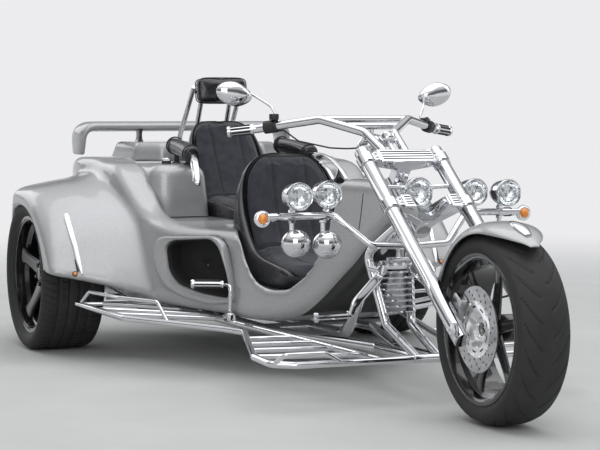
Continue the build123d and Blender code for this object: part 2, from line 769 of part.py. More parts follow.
# Headrest on four tubes that stand on the rear cover
head_pad_low = 1045
with BuildPart() as headrest_frame:
    for side, sign in sides:
        add(tube(run(sign, ((-235, 118, cover_top + seat_gap), (-235, 118, cover_top + 26), (-62, 112, 1120))), 11, 30))
        add(tube(run(sign, ((-165, 70, cover_top + seat_gap), (-165, 70, cover_top + 26), (-62, 66, 1120))), 11, 30))
    add(tube((at(-60, -112, 1100), at(-60, 112, 1100)), 9))
save(headrest_frame, "headrest_frame")
with BuildPart() as headrest_pad:
    with BuildSketch(Plane(origin=at(-50.9, 0, 1104), x_dir=across, z_dir=(1, 0, 0.1))):
        RectangleRounded(232, 118, 26)
    extrude(amount=62)
save(headrest_pad, "headrest_pad")

# Arm rolls with grab handles in front of them
box_top = shell_floor + seat_gap + box_height
with BuildPart() as armrests:
    for side, sign in sides:
        add(tube(run(sign, ((65, 250, 862), (360, 272, 828))), 32))
        for x, y in ((110, 253), (305, 268)):
            add(tube(run(sign, ((x, y, box_top + seat_gap), (x, y, box_top + 40))), 11))
save(armrests, "armrests")
handle_foot = 705
with BuildPart() as grab_handles:
    for side, sign in sides:
        foot_x = box_front - (handle_foot - shell_floor) * tan(radians(box_taper)) + 1.8
        add(tube(run(sign, ((361.2, 272, 828), (422, 280, 818), (446, 288, handle_foot + 20), (400, 284, handle_foot),
                            (foot_x, 284, handle_foot))), 13, 22))
save(grab_handles, "grab_handles")

# Engine and gearbox as one block on the frame rails
engine_foot = rail_height + rail_radius + seat_gap
with BuildPart() as engine_block:
    with BuildSketch(floor_plane(engine_foot)):
        with Locations((-285, 0)):
            RectangleRounded(440, 560, 30)
    extrude(amount=345)
    with BuildSketch(floor_plane(engine_foot)):
        with Locations((160, 0)):
            RectangleRounded(500, 260, 40)
    extrude(amount=240)
save(engine_block, "engine_block")

# Chassis: head tube, spine, down tubes, two lower rails and cross members
rail_half = 210
member_places = (-470, 440, 1000)
front_tube_x = 2040
front_tube_height = 157
with BuildPart() as chassis_frame:
    add(frame_part(0))
    with BuildSketch(fork_plane(0, -steer_offset)):
        Circle(stem_radius + 0.2)
    extrude(amount=fork_length / 2, mode=Mode.SUBTRACT)
    for side, sign in sides:
        add(tube(run(sign, ((-520, rail_half, rail_height), (1120, rail_half, rail_height), (1700, 40, rail_height - 6), (2042, 40, front_tube_height))), rail_radius - 4, 60))
    for x in member_places:
        reach = 300 if x > 800 else 400
        add(tube((at(x, -reach, rail_height), at(x, reach, rail_height)), rail_radius - 6))
    add(tube((at(front_tube_x, -60, front_tube_height), at(front_tube_x, 60, front_tube_height)), board_radius + 3))
save(chassis_frame, "chassis_frame")

# Rear suspension: pivot tube on the rails, trailing arms, carriers and wheel spindles
pivot_x = 420
pivot_height = rail_height + rail_radius - 4 + 20 + seat_gap
carrier_half = track_half - rear_hub_half - seat_gap
with BuildPart() as rear_suspension:
    for side, sign in sides:
        add(tube(run(sign, ((pivot_x, 150, pivot_height), (pivot_x, 530, pivot_height))), 20))
        add(tube(run(sign, ((pivot_x, 470, pivot_height + 6), (0, hub_inner + 40, rear_tyre_radius))), 26))
        with BuildSketch(Plane(origin=at(0, sign * hub_inner, rear_tyre_radius), z_dir=across * sign)):
            Circle(70)
        extrude(amount=carrier_half - hub_inner)
        with BuildSketch(Plane(origin=at(0, sign * hub_inner, rear_tyre_radius), z_dir=across * sign)):
            Circle(spindle_radius)
        extrude(amount=track_half + rear_hub_half - 6 - hub_inner)
save(rear_suspension, "rear_suspension")
with BuildPart() as drive_shafts:
    for side, sign in sides:
        shaft_start = 130 + seat_gap
        with BuildSketch(Plane(origin=at(0, sign * shaft_start, rear_tyre_radius), z_dir=across * sign)):
            Circle(14)
        extrude(amount=hub_inner - seat_gap - shaft_start)
        for from_y in (shaft_start, 480):
            with BuildSketch(Plane(origin=at(0, sign * from_y, rear_tyre_radius), z_dir=across * sign)):
                Circle(40)
            extrude(amount=60)
save(drive_shafts, "drive_shafts")

# Mufflers lie along the rear cross member
muffler_radius = 46
with BuildPart() as exhausts:
    for side, sign in sides:
        height = rail_height + rail_radius - 6 + seat_gap + muffler_radius
        add(tube(run(sign, ((-430, 380, height), (-590, 380, height))), muffler_radius))
        with BuildSketch(cross_plane(-595, sign * 380, height)):
            Circle(30)
        extrude(amount=70, mode=Mode.SUBTRACT)
save(exhausts, "exhausts")

# Running boards: an outer and an inner tube, slats and two raised hoops on each side
outer_run = (
    (452, 800, 232), (870, 735, 212), (1231, 462, 196), (1330, 415, 191), (1847, 579, 167), (1998, 577, 160),
    (front_tube_x, 500, front_tube_height), (front_tube_x, 60 + seat_gap, front_tube_height),
)
inner_run = ((520, 470, 229), (959, 396, 208), (front_tube_x - 4, 172, front_tube_height))
slat_runs = (
    ((452, 800, 232), (520, 470, 229)),
    ((480, 700, 231), (700, 440, 221)),
    ((620, 770, 224), (860, 414, 213)),
    ((760, 750, 217), (980, 392, 207)),
    ((1480, 462, 184), (1490, 288, 183)),
    ((1600, 500, 179), (1620, 262, 177)),
    ((1720, 538, 173), (1750, 236, 171)),
    ((1847, 578, 167), (1900, 206, 164)),
)
hoop_runs = (
    ((470, 797, 231), (540, 778, 288), (800, 738, 286), (985, 640, 282), (1030, 612, 206)),
    ((2005, 570, 160), (2052, 548, 196), (2056, 400, 196), (front_tube_x, 330, 158)),
)
for side, sign in sides:
    with BuildPart() as running_board:
        add(tube(run(sign, outer_run), board_radius, 22))
        add(tube(run(sign, inner_run), board_radius, 60))
        for points in slat_runs:
            add(tube(run(sign, points), board_radius - 3))
        for points in hoop_runs:
            add(tube(run(sign, points), board_radius - 5, 18))
    save(running_board, f"running_board_{side}")

# Passenger pegs on cranked posts and the foot controls at the front
peg_radius = 18
with BuildPart() as foot_pegs:
    for side, sign in sides:
        add(tube(run(sign, ((1062, 374.6, 216.6), (1080, 376, 338), (1035, 388, 344))), 9, 16))
        add(tube(run(sign, ((1035, 386, 344), (1000, 508, 346))), peg_radius))
save(foot_pegs, "foot_pegs")
with BuildPart() as foot_controls:
    for side, sign in sides:
        add(tube(run(sign, ((1722.8, 92.4, 440), (1722.8, 128, 440), (1806, 178, 335), (1797, 205, 292))), 10, 22))
        add(tube(run(sign, ((1796, 190, 296), (1790, 325, 288))), peg_radius))
save(foot_controls, "foot_controls")

# Louvred radiator guard: two side bars clamped ahead of the down tubes, slats between them
guard_bar_radius = 7
guard_slats = 9
tube_top = Vector(1700, 82, 500)
tube_low = Vector(1795, 50, 250)
tube_fall = (tube_low - tube_top).normalized()
guard_ahead = Vector(-tube_fall.Z, 0, tube_fall.X).normalized() * (rail_radius - 6 + seat_gap + guard_bar_radius)
with BuildPart() as radiator_guard:
    guard_ends = [tube_top + (tube_low - tube_top) * share + guard_ahead for share in (0.14, 0.86)]
    for side, sign in sides:
        add(tube(run(sign, [(p.X, p.Y, p.Z) for p in guard_ends]), guard_bar_radius))
    for step in range(guard_slats):
        place = guard_ends[0] + (guard_ends[1] - guard_ends[0]) * ((step + 0.5) / guard_slats)
        with BuildSketch(side_plane()):
            with Locations((place.X + 9, place.Z)):
                Rectangle(26, 5, rotation=-24)
        extrude(amount=place.Y, both=True)
save(radiator_guard, "radiator_guard")

# Lamp bar with upper lamps, lower domes and turn signals
lamp_bar_run = (
    (1770, 500, 645), (1812, 262, 650), (1880, 150, 545), (1905, 0, 540),
    (1880, -150, 545), (1812, -262, 650), (1770, -500, 645),
)
lamp_bar_radius = 13
# Columns: lens x, y, z, reach of the post below the lamp's axis
upper_lamps = ((1848, 414, 721, 35), (1822, 294, 722, 47.8))
lower_lamps = ((1802, 412, 566), (1822, 298, 566))
dome_radius = 44
dome_depth = 34
dome_rise = 30
bracket_profile = ((1897, 545), (1897, 609.3), (1867, 588), (1880, 545))


def bar_place(y):
    # x and height of the bar's axis in its outer straight run
    share = (500 - y) / (500 - 262)
    return 1770 + share * 42, 645 + share * 5


with BuildPart() as lamp_bar:
    add(tube(run(1, lamp_bar_run), lamp_bar_radius, 40))
    for side, sign in sides:
        with BuildSketch(side_plane(sign * 27)):
            with BuildLine():
                Polyline(*bracket_profile, close=True)
            make_face()
        extrude(amount=5, both=True)
save(lamp_bar, "lamp_bar")
with BuildPart() as spot_lamps:
    for side, sign in sides:
        for lens_x, y, z, post_reach in upper_lamps:
            add(lamp_shell(at(lens_x, sign * y, z), forward, lamp_radius - 1, 86, lens_seat))
            bar_x, bar_z = bar_place(y)
            add(tube(run(sign, ((bar_x, y, bar_z + lamp_bar_radius + seat_gap), (bar_x, y, z - post_reach))), 9))
save(spot_lamps, "spot_lamps")
with BuildPart() as spot_lenses:
    for side, sign in sides:
        for lens_x, y, z, post_reach in upper_lamps:
            add(lamp_lens(at(lens_x, sign * y, z), forward, lamp_radius - 1, lens_seat))
save(spot_lenses, "spot_lenses")
with BuildPart() as lower_domes:
    for side, sign in sides:
        for x, y, z in lower_lamps:
            centre = at(x, sign * y, z)
            with BuildSketch(Plane(origin=centre, x_dir=(1, 0, 0), z_dir=(0, -1, 0))):
                with BuildLine():
                    Polyline((0, dome_radius - 3), (0, 0), (-dome_depth, 0), (-dome_depth, dome_radius))
                    Line((-dome_depth, dome_radius), (-6, dome_radius))
                    ThreePointArc((-6, dome_radius), (-2, dome_radius - 1), (0, dome_radius - 3))
                make_face()
            revolve(axis=Axis(centre, (1, 0, 0)))
            sag, out = cap_point(dome_radius - 3, dome_rise, 0.5)
            with BuildSketch(Plane(origin=centre, x_dir=(1, 0, 0), z_dir=(0, -1, 0))):
                with BuildLine():
                    Polyline((dome_rise, 0), (-2, 0), (-2, dome_radius - 3), (0, dome_radius - 3))
                    ThreePointArc((0, dome_radius - 3), (dome_rise - sag, out), (dome_rise, 0))
                make_face()
            revolve(axis=Axis(centre, (1, 0, 0)))
            bar_x, bar_z = bar_place(y)
            head = bar_z - lamp_bar_radius - seat_gap
            add(tube(run(sign, ((bar_x, y, head), (bar_x, y, z + dome_radius * 0.9))), 9))
save(lower_domes, "lower_domes")
signal_radius = 27
with BuildPart() as turn_signals:
    for side, sign in sides:
        with Locations(at(1768, sign * (500 + seat_gap + signal_radius), 645)):
            Sphere(signal_radius)
save(turn_signals, "turn_signals")
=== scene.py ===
import json
import math

import bpy
import bmesh
import numpy as np
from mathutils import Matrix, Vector

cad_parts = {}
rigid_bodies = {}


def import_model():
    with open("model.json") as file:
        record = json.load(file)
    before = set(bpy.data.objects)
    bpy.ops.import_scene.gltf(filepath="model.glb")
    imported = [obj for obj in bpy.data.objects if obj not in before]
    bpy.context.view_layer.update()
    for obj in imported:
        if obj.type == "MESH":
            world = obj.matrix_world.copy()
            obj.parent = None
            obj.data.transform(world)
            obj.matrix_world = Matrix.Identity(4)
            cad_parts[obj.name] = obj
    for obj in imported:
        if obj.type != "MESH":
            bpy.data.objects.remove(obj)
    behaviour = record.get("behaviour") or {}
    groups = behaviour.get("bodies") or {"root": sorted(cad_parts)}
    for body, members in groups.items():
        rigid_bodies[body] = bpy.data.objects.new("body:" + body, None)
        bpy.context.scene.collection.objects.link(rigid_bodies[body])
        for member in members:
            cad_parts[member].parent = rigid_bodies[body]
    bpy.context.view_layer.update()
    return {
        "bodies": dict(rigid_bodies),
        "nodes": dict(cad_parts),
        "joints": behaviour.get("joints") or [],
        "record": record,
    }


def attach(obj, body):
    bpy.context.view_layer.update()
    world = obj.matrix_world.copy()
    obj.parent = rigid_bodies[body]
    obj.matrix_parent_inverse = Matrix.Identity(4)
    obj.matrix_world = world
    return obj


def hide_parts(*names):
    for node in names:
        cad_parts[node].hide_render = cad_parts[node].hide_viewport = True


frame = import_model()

scene = bpy.context.scene
nodes = frame["nodes"]
print("stage: frame loaded")

# every x below is measured forward from the rear axle, every z from the ground, in metres
rearAxle = -1.1255
leftward = np.array([0, 1.0, 0])


def at(points):
    # x from the rear axle to x of the row frame, for one point or an array of them
    points = np.array(points, float)
    points[..., 0] += rearAxle
    return points


def mirrored(points):
    # the same points on the other side of the trike
    return np.array(points, float) * [1, -1, 1]


# the shared ways to make a surface

def smoothRows(rows, count):
    # cubic through the rows: the first column is the place, the others follow it smoothly
    rows = np.array(rows, float)
    place = rows[:, 0]
    slope = np.gradient(rows, place, axis=0)
    t = np.linspace(place[0], place[-1], count)
    i = np.clip(np.searchsorted(place, t, side="right") - 1, 0, len(place) - 2)
    h = (place[i + 1] - place[i])[:, None]
    s = ((t - place[i]) / h[:, 0])[:, None]
    low, high = rows[i], rows[i + 1]
    lowShare, highShare = 2 * s**3 - 3 * s**2 + 1, -2 * s**3 + 3 * s**2
    lowTurn, highTurn = (s**3 - 2 * s**2 + s) * h, (s**3 - s**2) * h
    return lowShare * low + lowTurn * slope[i] + highShare * high + highTurn * slope[i + 1]


def softCorners(corners, cut, arcPoints=8, edgePoints=3):
    # closed outlines whose corners turn on quadratic arcs that begin "cut" before each corner
    corners = np.array(corners, float)
    before = np.roll(corners, 1, axis=-2) - corners
    after = np.roll(corners, -1, axis=-2) - corners
    reachBack = np.linalg.norm(before, axis=-1, keepdims=True)
    reachOn = np.linalg.norm(after, axis=-1, keepdims=True)
    cut = np.broadcast_to(np.array(cut, float), corners.shape[:-1])[..., None]
    first = corners + before / reachBack * np.minimum(cut, reachBack * 0.47)
    last = corners + after / reachOn * np.minimum(cut, reachOn * 0.47)
    s = np.linspace(0, 1, arcPoints)[:, None]
    arc = ((1 - s)**2 * first[..., None, :] + 2 * s * (1 - s) * corners[..., None,
        :] + s**2 * last[..., None, :])
    e = (np.arange(1, edgePoints + 1) / (edgePoints + 1))[:, None]
    onward = last[..., None, :] * (1 - e) + np.roll(first, -1, axis=-2)[..., None, :] * e
    both = np.concatenate([arc, onward], axis=-2)
    return both.reshape(*corners.shape[:-2], -1, corners.shape[-1])


def curvePath(corners, bend, step=0.012):
    # an open run of straight pieces joined by arcs that begin "bend" before each corner
    corners = np.array(corners, float)
    parts = [corners[:1]]
    for i in range(1, len(corners) - 1):
        back, on = corners[i - 1] - corners[i], corners[i + 1] - corners[i]
        lengthBack, lengthOn = np.linalg.norm(back), np.linalg.norm(on)
        cut = min(bend, lengthBack * 0.48, lengthOn * 0.48)
        first, last = corners[i] + back / lengthBack * cut, corners[i] + on / lengthOn * cut
        s = np.linspace(0, 1, 12)[:, None]
        parts.append((1 - s)**2 * first + 2 * s * (1 - s) * corners[i] + s**2 * last)
    parts.append(corners[-1:])
    rough = np.concatenate(parts)
    gaps = np.linalg.norm(np.diff(rough, axis=0), axis=1)
    rough = rough[np.concatenate([[True], gaps > 1e-7])]
    lengths = runLengths(rough)
    even = np.unique(np.concatenate([lengths, np.arange(0, lengths[-1], step * 4)]))
    return resampled(even, lengths, rough)


def pathFrames(path, closed=False):
    # side and up directions square to the path, from the axis that the path runs along least
    if closed:
        tangent = np.roll(path, -1, axis=0) - np.roll(path, 1, axis=0)
    else:
        tangent = np.gradient(path, axis=0)
    tangent /= np.linalg.norm(tangent, axis=1, keepdims=True)
    axes = np.eye(3)
    guide = axes[np.argmin(np.abs(tangent @ axes).max(axis=0))]
    side = np.cross(guide, tangent)
    side /= np.linalg.norm(side, axis=1, keepdims=True)
    return tangent, side, np.cross(tangent, side)


def meshObject(name, vertices, faces, sharpAngle=38):
    mesh = bpy.data.meshes.new(name)
    mesh.from_pydata(np.asarray(vertices, float).reshape(-1, 3).tolist(), [], faces)
    work = bmesh.new()
    work.from_mesh(mesh)
    bmesh.ops.remove_doubles(work, verts=work.verts, dist=1e-6)
    bmesh.ops.dissolve_degenerate(work, edges=work.edges, dist=1e-7)
    bmesh.ops.recalc_face_normals(work, faces=work.faces)
    work.to_mesh(mesh)
    work.free()
    mesh.shade_smooth()
    if sharpAngle:
        mesh.set_sharp_from_angle(angle=math.radians(sharpAngle))
    piece = bpy.data.objects.new(name, mesh)
    scene.collection.objects.link(piece)
    return piece


def gridFaces(rows, columns, closeRows=False, closeColumns=False):
    # four-cornered faces between the neighbours of a grid of points
    index = np.arange(rows * columns).reshape(rows, columns)
    if closeRows:
        index = np.concatenate([index, index[:1]])
    if closeColumns:
        index = np.concatenate([index, index[:, :1]], axis=1)
    return np.stack([index[:-1, :-1], index[1:, :-1], index[1:, 1:], index[:-1, 1:]],
        axis=-1).reshape(-1, 4).tolist()


def gridSurface(grid, closeRows=False, closeColumns=False, capRows=False):
    # points and faces of a grid; with capRows its first and last rows close on their middles
    grid = np.asarray(grid, float)
    rows, columns = grid.shape[:2]
    vertices = grid.reshape(-1, 3)
    faces = gridFaces(rows, columns, closeRows, closeColumns)
    if capRows:
        for row in (0, rows - 1):
            middle = len(vertices)
            vertices = np.concatenate([vertices, grid[row].mean(axis=0, keepdims=True)])
            ring = np.arange(columns) + row * columns
            other = np.roll(ring, -1)
            faces += np.stack([ring, other, np.full(columns, middle)], axis=1).tolist()
    return vertices, faces


def joined(name, surfaces, sharpAngle=38):
    # several grids in one mesh
    vertices, faces, count = [], [], 0
    for points, quads in surfaces:
        vertices.append(points)
        faces += [[k + count for k in face] for face in quads]
        count += len(points)
    return meshObject(name, np.concatenate(vertices), faces, sharpAngle)


def circleSection(radius, count=20):
    turn = np.arange(count) * 2 * np.pi / count
    return np.stack([np.cos(turn), np.sin(turn)], axis=1) * radius


def sweep(path, section, closed=False, size=None):
    # a flat section carried along a path, square to it, and scaled by "size" at each point
    side, up = pathFrames(path, closed)[1:]
    size = np.ones(len(path)) if size is None else np.asarray(size, float)
    across = section[None, :, 0, None] * size[:, None, None] * side[:, None, :]
    upward = section[None, :, 1, None] * size[:, None, None] * up[:, None, :]
    grid = path[:, None, :] + across + upward
    return gridSurface(grid, closeRows=closed, closeColumns=True, capRows=not closed)


def tube(corners, radius, bend=0.02, count=20, rounded=0.0):
    # a round tube along a bent run; "rounded" draws its ends in over that length
    path = curvePath(corners, bend)
    size = np.ones(len(path))
    if rounded:
        lengths = runLengths(path)
        extra = np.concatenate([rounded * (1 - np.cos(np.linspace(0, np.pi / 2, 6))),
            lengths[-1] - rounded * (1 - np.cos(np.linspace(0, np.pi / 2, 6)))])
        even = np.unique(np.concatenate([lengths, extra]))
        path = resampled(even, lengths, path)
        edge = np.minimum(even, even[-1] - even)
        size = np.sqrt(np.clip(1 - (1 - np.clip(edge / rounded, 0, 1))**2, 0.002, 1))
    return sweep(path, circleSection(radius, count), size=size)


def lathe(profile, centre, axis, count=64, closed=False):
    # a profile of (along, out) turned about an axis
    profile = np.array(profile, float)
    axis = np.array(axis, float) / np.linalg.norm(axis)
    guide = np.array([0, 0, 1.0]) if abs(axis[2]) < 0.9 else np.array([1.0, 0, 0])
    side = np.cross(guide, axis)
    side /= np.linalg.norm(side)
    up = np.cross(axis, side)
    turn = np.arange(count) * 2 * np.pi / count
    ring = np.cos(turn)[:, None] * side + np.sin(turn)[:, None] * up
    grid = np.asarray(centre, float) + profile[:, None, :1] * axis + profile[:, None, 1:] * ring[None]
    return gridSurface(grid, closeRows=closed, closeColumns=True)


def runLengths(path):
    # how far along an open run each of its points lies
    return np.concatenate([[0], np.cumsum(np.linalg.norm(np.diff(path, axis=0), axis=1))])


def resampled(even, lengths, table):
    # every column of a table read off at new places along it
    return np.stack([np.interp(even, lengths, column) for column in table.T], axis=1)


def capped(rings):
    # closed rings of equal count joined side by side, with both ends closed
    return gridSurface(rings, closeColumns=True, capRows=True)


def prism(outline, axis, low, high):
    # a closed outline carried straight along one axis, with flat ends
    return capped([at(np.insert(np.array(outline, float), axis, reach, axis=1)) for reach in (low, high)])


def wheelRay(angle):
    # out from an axle at an angle
    return np.array([np.cos(angle), 0, np.sin(angle)])


def stud(radius, straight, top, topRadius):
    # a closed profile for a nut or a knob: straight, then drawn in to its flat top
    return [(0, 0), (0, radius), (straight, radius), (top, topRadius), (top, 0)]


def sleeve(low, high, inner, outer):
    # a closed profile for a plain ring
    return [(low, inner), (low, outer), (high, outer), (high, inner)]


def superRing(count, power):
    # points once round a superellipse of unit half sides: power 2 is round, higher is boxier
    turn = np.arange(count) * 2 * np.pi / count
    c, s = np.cos(turn), np.sin(turn)
    return np.sign(c) * np.abs(c)**(2 / power), np.sign(s) * np.abs(s)**(2 / power)


def loftRings(centre, half, side=None, up=None, power=2.5, count=32, ends=0.0):
    # superelliptic rings of changing half sides along a path; "ends" rounds both ends over that length
    centre, half = np.array(centre, float), np.array(half, float)
    if half.ndim == 1:
        half = np.broadcast_to(half, (len(centre), 2))
    if ends:
        lengths = runLengths(centre)
        curve = ends * (1 - np.cos(np.linspace(0, np.pi / 2, 8)))
        even = np.unique(np.round(np.concatenate([lengths, curve, lengths[-1] - curve]), 6))
        centre = resampled(even, lengths, centre)
        half = resampled(even, lengths, half)
        edge = np.clip(np.minimum(even, lengths[-1] - even) / ends, 0, 1)
        half = half - ends * (1 - np.sqrt(np.clip(1 - (1 - edge)**2, 0, 1)))[:, None]
        half = np.maximum(half, 0.0004)
    tangent, ownSide, ownUp = pathFrames(centre)
    if side is not None:
        ownSide = np.broadcast_to(np.array(side, float), centre.shape)
        ownUp = np.cross(tangent, ownSide)
        ownUp = ownUp / np.linalg.norm(ownUp, axis=1, keepdims=True)
    if up is not None:
        ownUp = np.broadcast_to(np.array(up, float), centre.shape)
        if side is None:
            ownSide = np.cross(ownUp, tangent)
            ownSide = ownSide / np.linalg.norm(ownSide, axis=1, keepdims=True)
    a, b = superRing(count, power)
    grid = (centre[:, None, :] + half[:, :1, None] * a[None, :, None] * ownSide[:, None, :] + half[:, 1:,
        None] * b[None, :, None] * ownUp[:, None, :])
    return capped(grid)


def finishModifiers(piece):
    # the mesh as its modifiers leave it
    graph = bpy.context.evaluated_depsgraph_get()
    made = bpy.data.meshes.new_from_object(piece.evaluated_get(graph))
    piece.modifiers.clear()
    old = piece.data
    piece.data = made
    bpy.data.meshes.remove(old)
    return piece


def meshPoints(piece):
    # every vertex of a piece, one row each
    points = np.empty(len(piece.data.vertices) * 3)
    piece.data.vertices.foreach_get("co", points)
    return points.reshape(-1, 3)


def movePoints(piece, points):
    piece.data.vertices.foreach_set("co", points.ravel())
    piece.data.update()


def softened(piece, times):
    step = piece.modifiers.new("soften", "SMOOTH")
    step.factor = 0.5
    step.iterations = times


def rounder(piece):
    # one level of subdivision
    step = piece.modifiers.new("rounder", "SUBSURF")
    step.levels = step.render_levels = 1
    finishModifiers(piece)


def thickened(piece, thickness, offset):
    step = piece.modifiers.new("wall", "SOLIDIFY")
    step.thickness = thickness
    step.offset = offset
    finishModifiers(piece)


def boolean(piece, other, kind):
    step = piece.modifiers.new("cut", "BOOLEAN")
    step.operation = kind
    step.object = other
    step.solver = "EXACT"
    finishModifiers(piece)
    bpy.data.objects.remove(other)
    return piece


def remeshed(piece, voxel, smooth):
    # one even skin over all that the mesh holds
    step = piece.modifiers.new("skin", "REMESH")
    step.mode = "VOXEL"
    step.voxel_size = voxel
    step.use_smooth_shade = True
    softened(piece, smooth)
    return finishModifiers(piece)


# materials: every one is made of nodes on Object coordinates

def newMaterial(name):
    made = bpy.data.materials.new(name)
    made.use_nodes = True
    tree = made.node_tree
    return made, tree, tree.nodes["Principled BSDF"]


def addNode(tree, kind, **values):
    node = tree.nodes.new(kind)
    for key, value in values.items():
        if key in node.inputs:
            node.inputs[key].default_value = value
        else:
            setattr(node, key, value)
    return node


def noise(tree, scale, detail):
    where = addNode(tree, "ShaderNodeTexCoord")
    texture = addNode(tree, "ShaderNodeTexNoise", Scale=scale, Detail=detail)
    tree.links.new(where.outputs["Object"], texture.inputs["Vector"])
    return texture


def ramp(tree, source, low, high, colourLow, colourHigh):
    node = addNode(tree, "ShaderNodeValToRGB")
    node.color_ramp.elements[0].position = low
    node.color_ramp.elements[1].position = high
    node.color_ramp.elements[0].color = (*colourLow, 1)
    node.color_ramp.elements[1].color = (*colourHigh, 1)
    tree.links.new(source, node.inputs["Fac"])
    return node


def bump(tree, shader, source, strength, distance):
    node = addNode(tree, "ShaderNodeBump", Strength=strength, Distance=distance)
    tree.links.new(source, node.inputs["Height"])
    tree.links.new(node.outputs["Normal"], shader.inputs["Normal"])


def grained(name, colour, other, roughness, roughHigh, scale, metallic=0.0, bumpSize=0.0, bumpScale=400,
        coat=0.0, sheen=0.0, specular=0.5):
    # two close colours and a changing roughness from one noise, fine relief from another
    made, tree, shader = newMaterial(name)
    cloud = noise(tree, scale, 4)
    tint = ramp(tree, cloud.outputs["Fac"], 0.35, 0.68, colour, other)
    tree.links.new(tint.outputs["Color"], shader.inputs["Base Color"])
    rough = ramp(tree, cloud.outputs["Fac"], 0.3, 0.75, (roughness,) * 3, (roughHigh,) * 3)
    tree.links.new(rough.outputs["Color"], shader.inputs["Roughness"])
    shader.inputs["Metallic"].default_value = metallic
    shader.inputs["Coat Weight"].default_value = coat
    shader.inputs["Coat Roughness"].default_value = 0.04
    shader.inputs["Sheen Weight"].default_value = sheen
    shader.inputs["Specular IOR Level"].default_value = specular
    if bumpSize:
        grain = noise(tree, bumpScale, 2)
        bump(tree, shader, grain.outputs["Fac"], 0.6, bumpSize)
    return made


finishes = {
    "chrome": dict(colour=(0.66, 0.67, 0.69), other=(0.73, 0.74, 0.76), roughness=0.03,
        roughHigh=0.09, scale=14, metallic=1.0),
    "vinyl": dict(colour=(0.012, 0.012, 0.015), other=(0.02, 0.02, 0.024), roughness=0.2, roughHigh=0.34,
        scale=9, bumpSize=0.0003, bumpScale=900, coat=0.25),
    "rubber": dict(colour=(0.016, 0.016, 0.017), other=(0.028, 0.028, 0.028), roughness=0.62, roughHigh=0.8,
        scale=20, bumpSize=0.0003, bumpScale=700),
    "alloy": dict(colour=(0.01, 0.01, 0.011), other=(0.018, 0.018, 0.02), roughness=0.16, roughHigh=0.3,
        scale=12, metallic=0.3, coat=0.8),
    "steel": dict(colour=(0.42, 0.42, 0.43), other=(0.55, 0.55, 0.56), roughness=0.22,
        roughHigh=0.4, scale=40, metallic=1.0),
    "casting": dict(colour=(0.1, 0.1, 0.105), other=(0.17, 0.17, 0.17), roughness=0.5, roughHigh=0.7,
        scale=18, metallic=0.7, bumpSize=0.0008, bumpScale=260),
    "amber": dict(colour=(0.85, 0.24, 0.02), other=(0.98, 0.36, 0.05), roughness=0.12, roughHigh=0.2,
        scale=60, coat=0.6, bumpSize=0.0008, bumpScale=500),
    "redLens": dict(colour=(0.45, 0.01, 0.01), other=(0.6, 0.02, 0.02), roughness=0.12, roughHigh=0.2,
        scale=60, coat=0.6, bumpSize=0.0008, bumpScale=500),
    "blackPlastic": dict(colour=(0.012, 0.012, 0.012), other=(0.02, 0.02, 0.02), roughness=0.4,
        roughHigh=0.55, scale=30, bumpSize=0.0002, bumpScale=1200),
    # painted shade: near black for the shaded insides of slots, holes and pockets, also used for the dark
    # joints on the nose
    "shadeAndJoints": dict(colour=(0.006, 0.006, 0.006), other=(0.012, 0.012, 0.012), roughness=0.8,
        roughHigh=0.9, scale=20),
    "brightTrim": dict(colour=(0.8, 0.8, 0.8), other=(0.88, 0.88, 0.88), roughness=0.12,
        roughHigh=0.2, scale=30, metallic=0.7),
    "reflector": dict(colour=(0.86, 0.87, 0.88), other=(0.92, 0.93, 0.94), roughness=0.08, roughHigh=0.14,
        scale=30, metallic=1.0, bumpSize=0.003, bumpScale=60),
    "plate": dict(colour=(0.62, 0.62, 0.6), other=(0.7, 0.7, 0.68), roughness=0.4,
        roughHigh=0.5, scale=20),
}
looks = {name: grained(name, **values) for name, values in finishes.items()}


def wovenCloth():
    # two crossed sets of fine threads over a soft mottle
    made, tree, shader = newMaterial("wovenCloth")
    mottle = noise(tree, 30, 3)
    tint = ramp(tree, mottle.outputs["Fac"], 0.3, 0.7, (0.044, 0.045, 0.055), (0.064, 0.065, 0.076))
    tree.links.new(tint.outputs["Color"], shader.inputs["Base Color"])
    shader.inputs["Roughness"].default_value = 0.9
    shader.inputs["Sheen Weight"].default_value = 0.25
    shader.inputs["Sheen Roughness"].default_value = 0.4
    shader.inputs["Specular IOR Level"].default_value = 0.2
    where = addNode(tree, "ShaderNodeTexCoord")
    total = addNode(tree, "ShaderNodeMath", operation="ADD")
    for slot, direction in enumerate(("Y", "Z")):
        wave = addNode(tree, "ShaderNodeTexWave", Scale=240, Distortion=0.6, bands_direction=direction)
        tree.links.new(where.outputs["Object"], wave.inputs["Vector"])
        tree.links.new(wave.outputs["Fac"], total.inputs[slot])
    bump(tree, shader, total.outputs[0], 0.5, 0.0006)
    return made


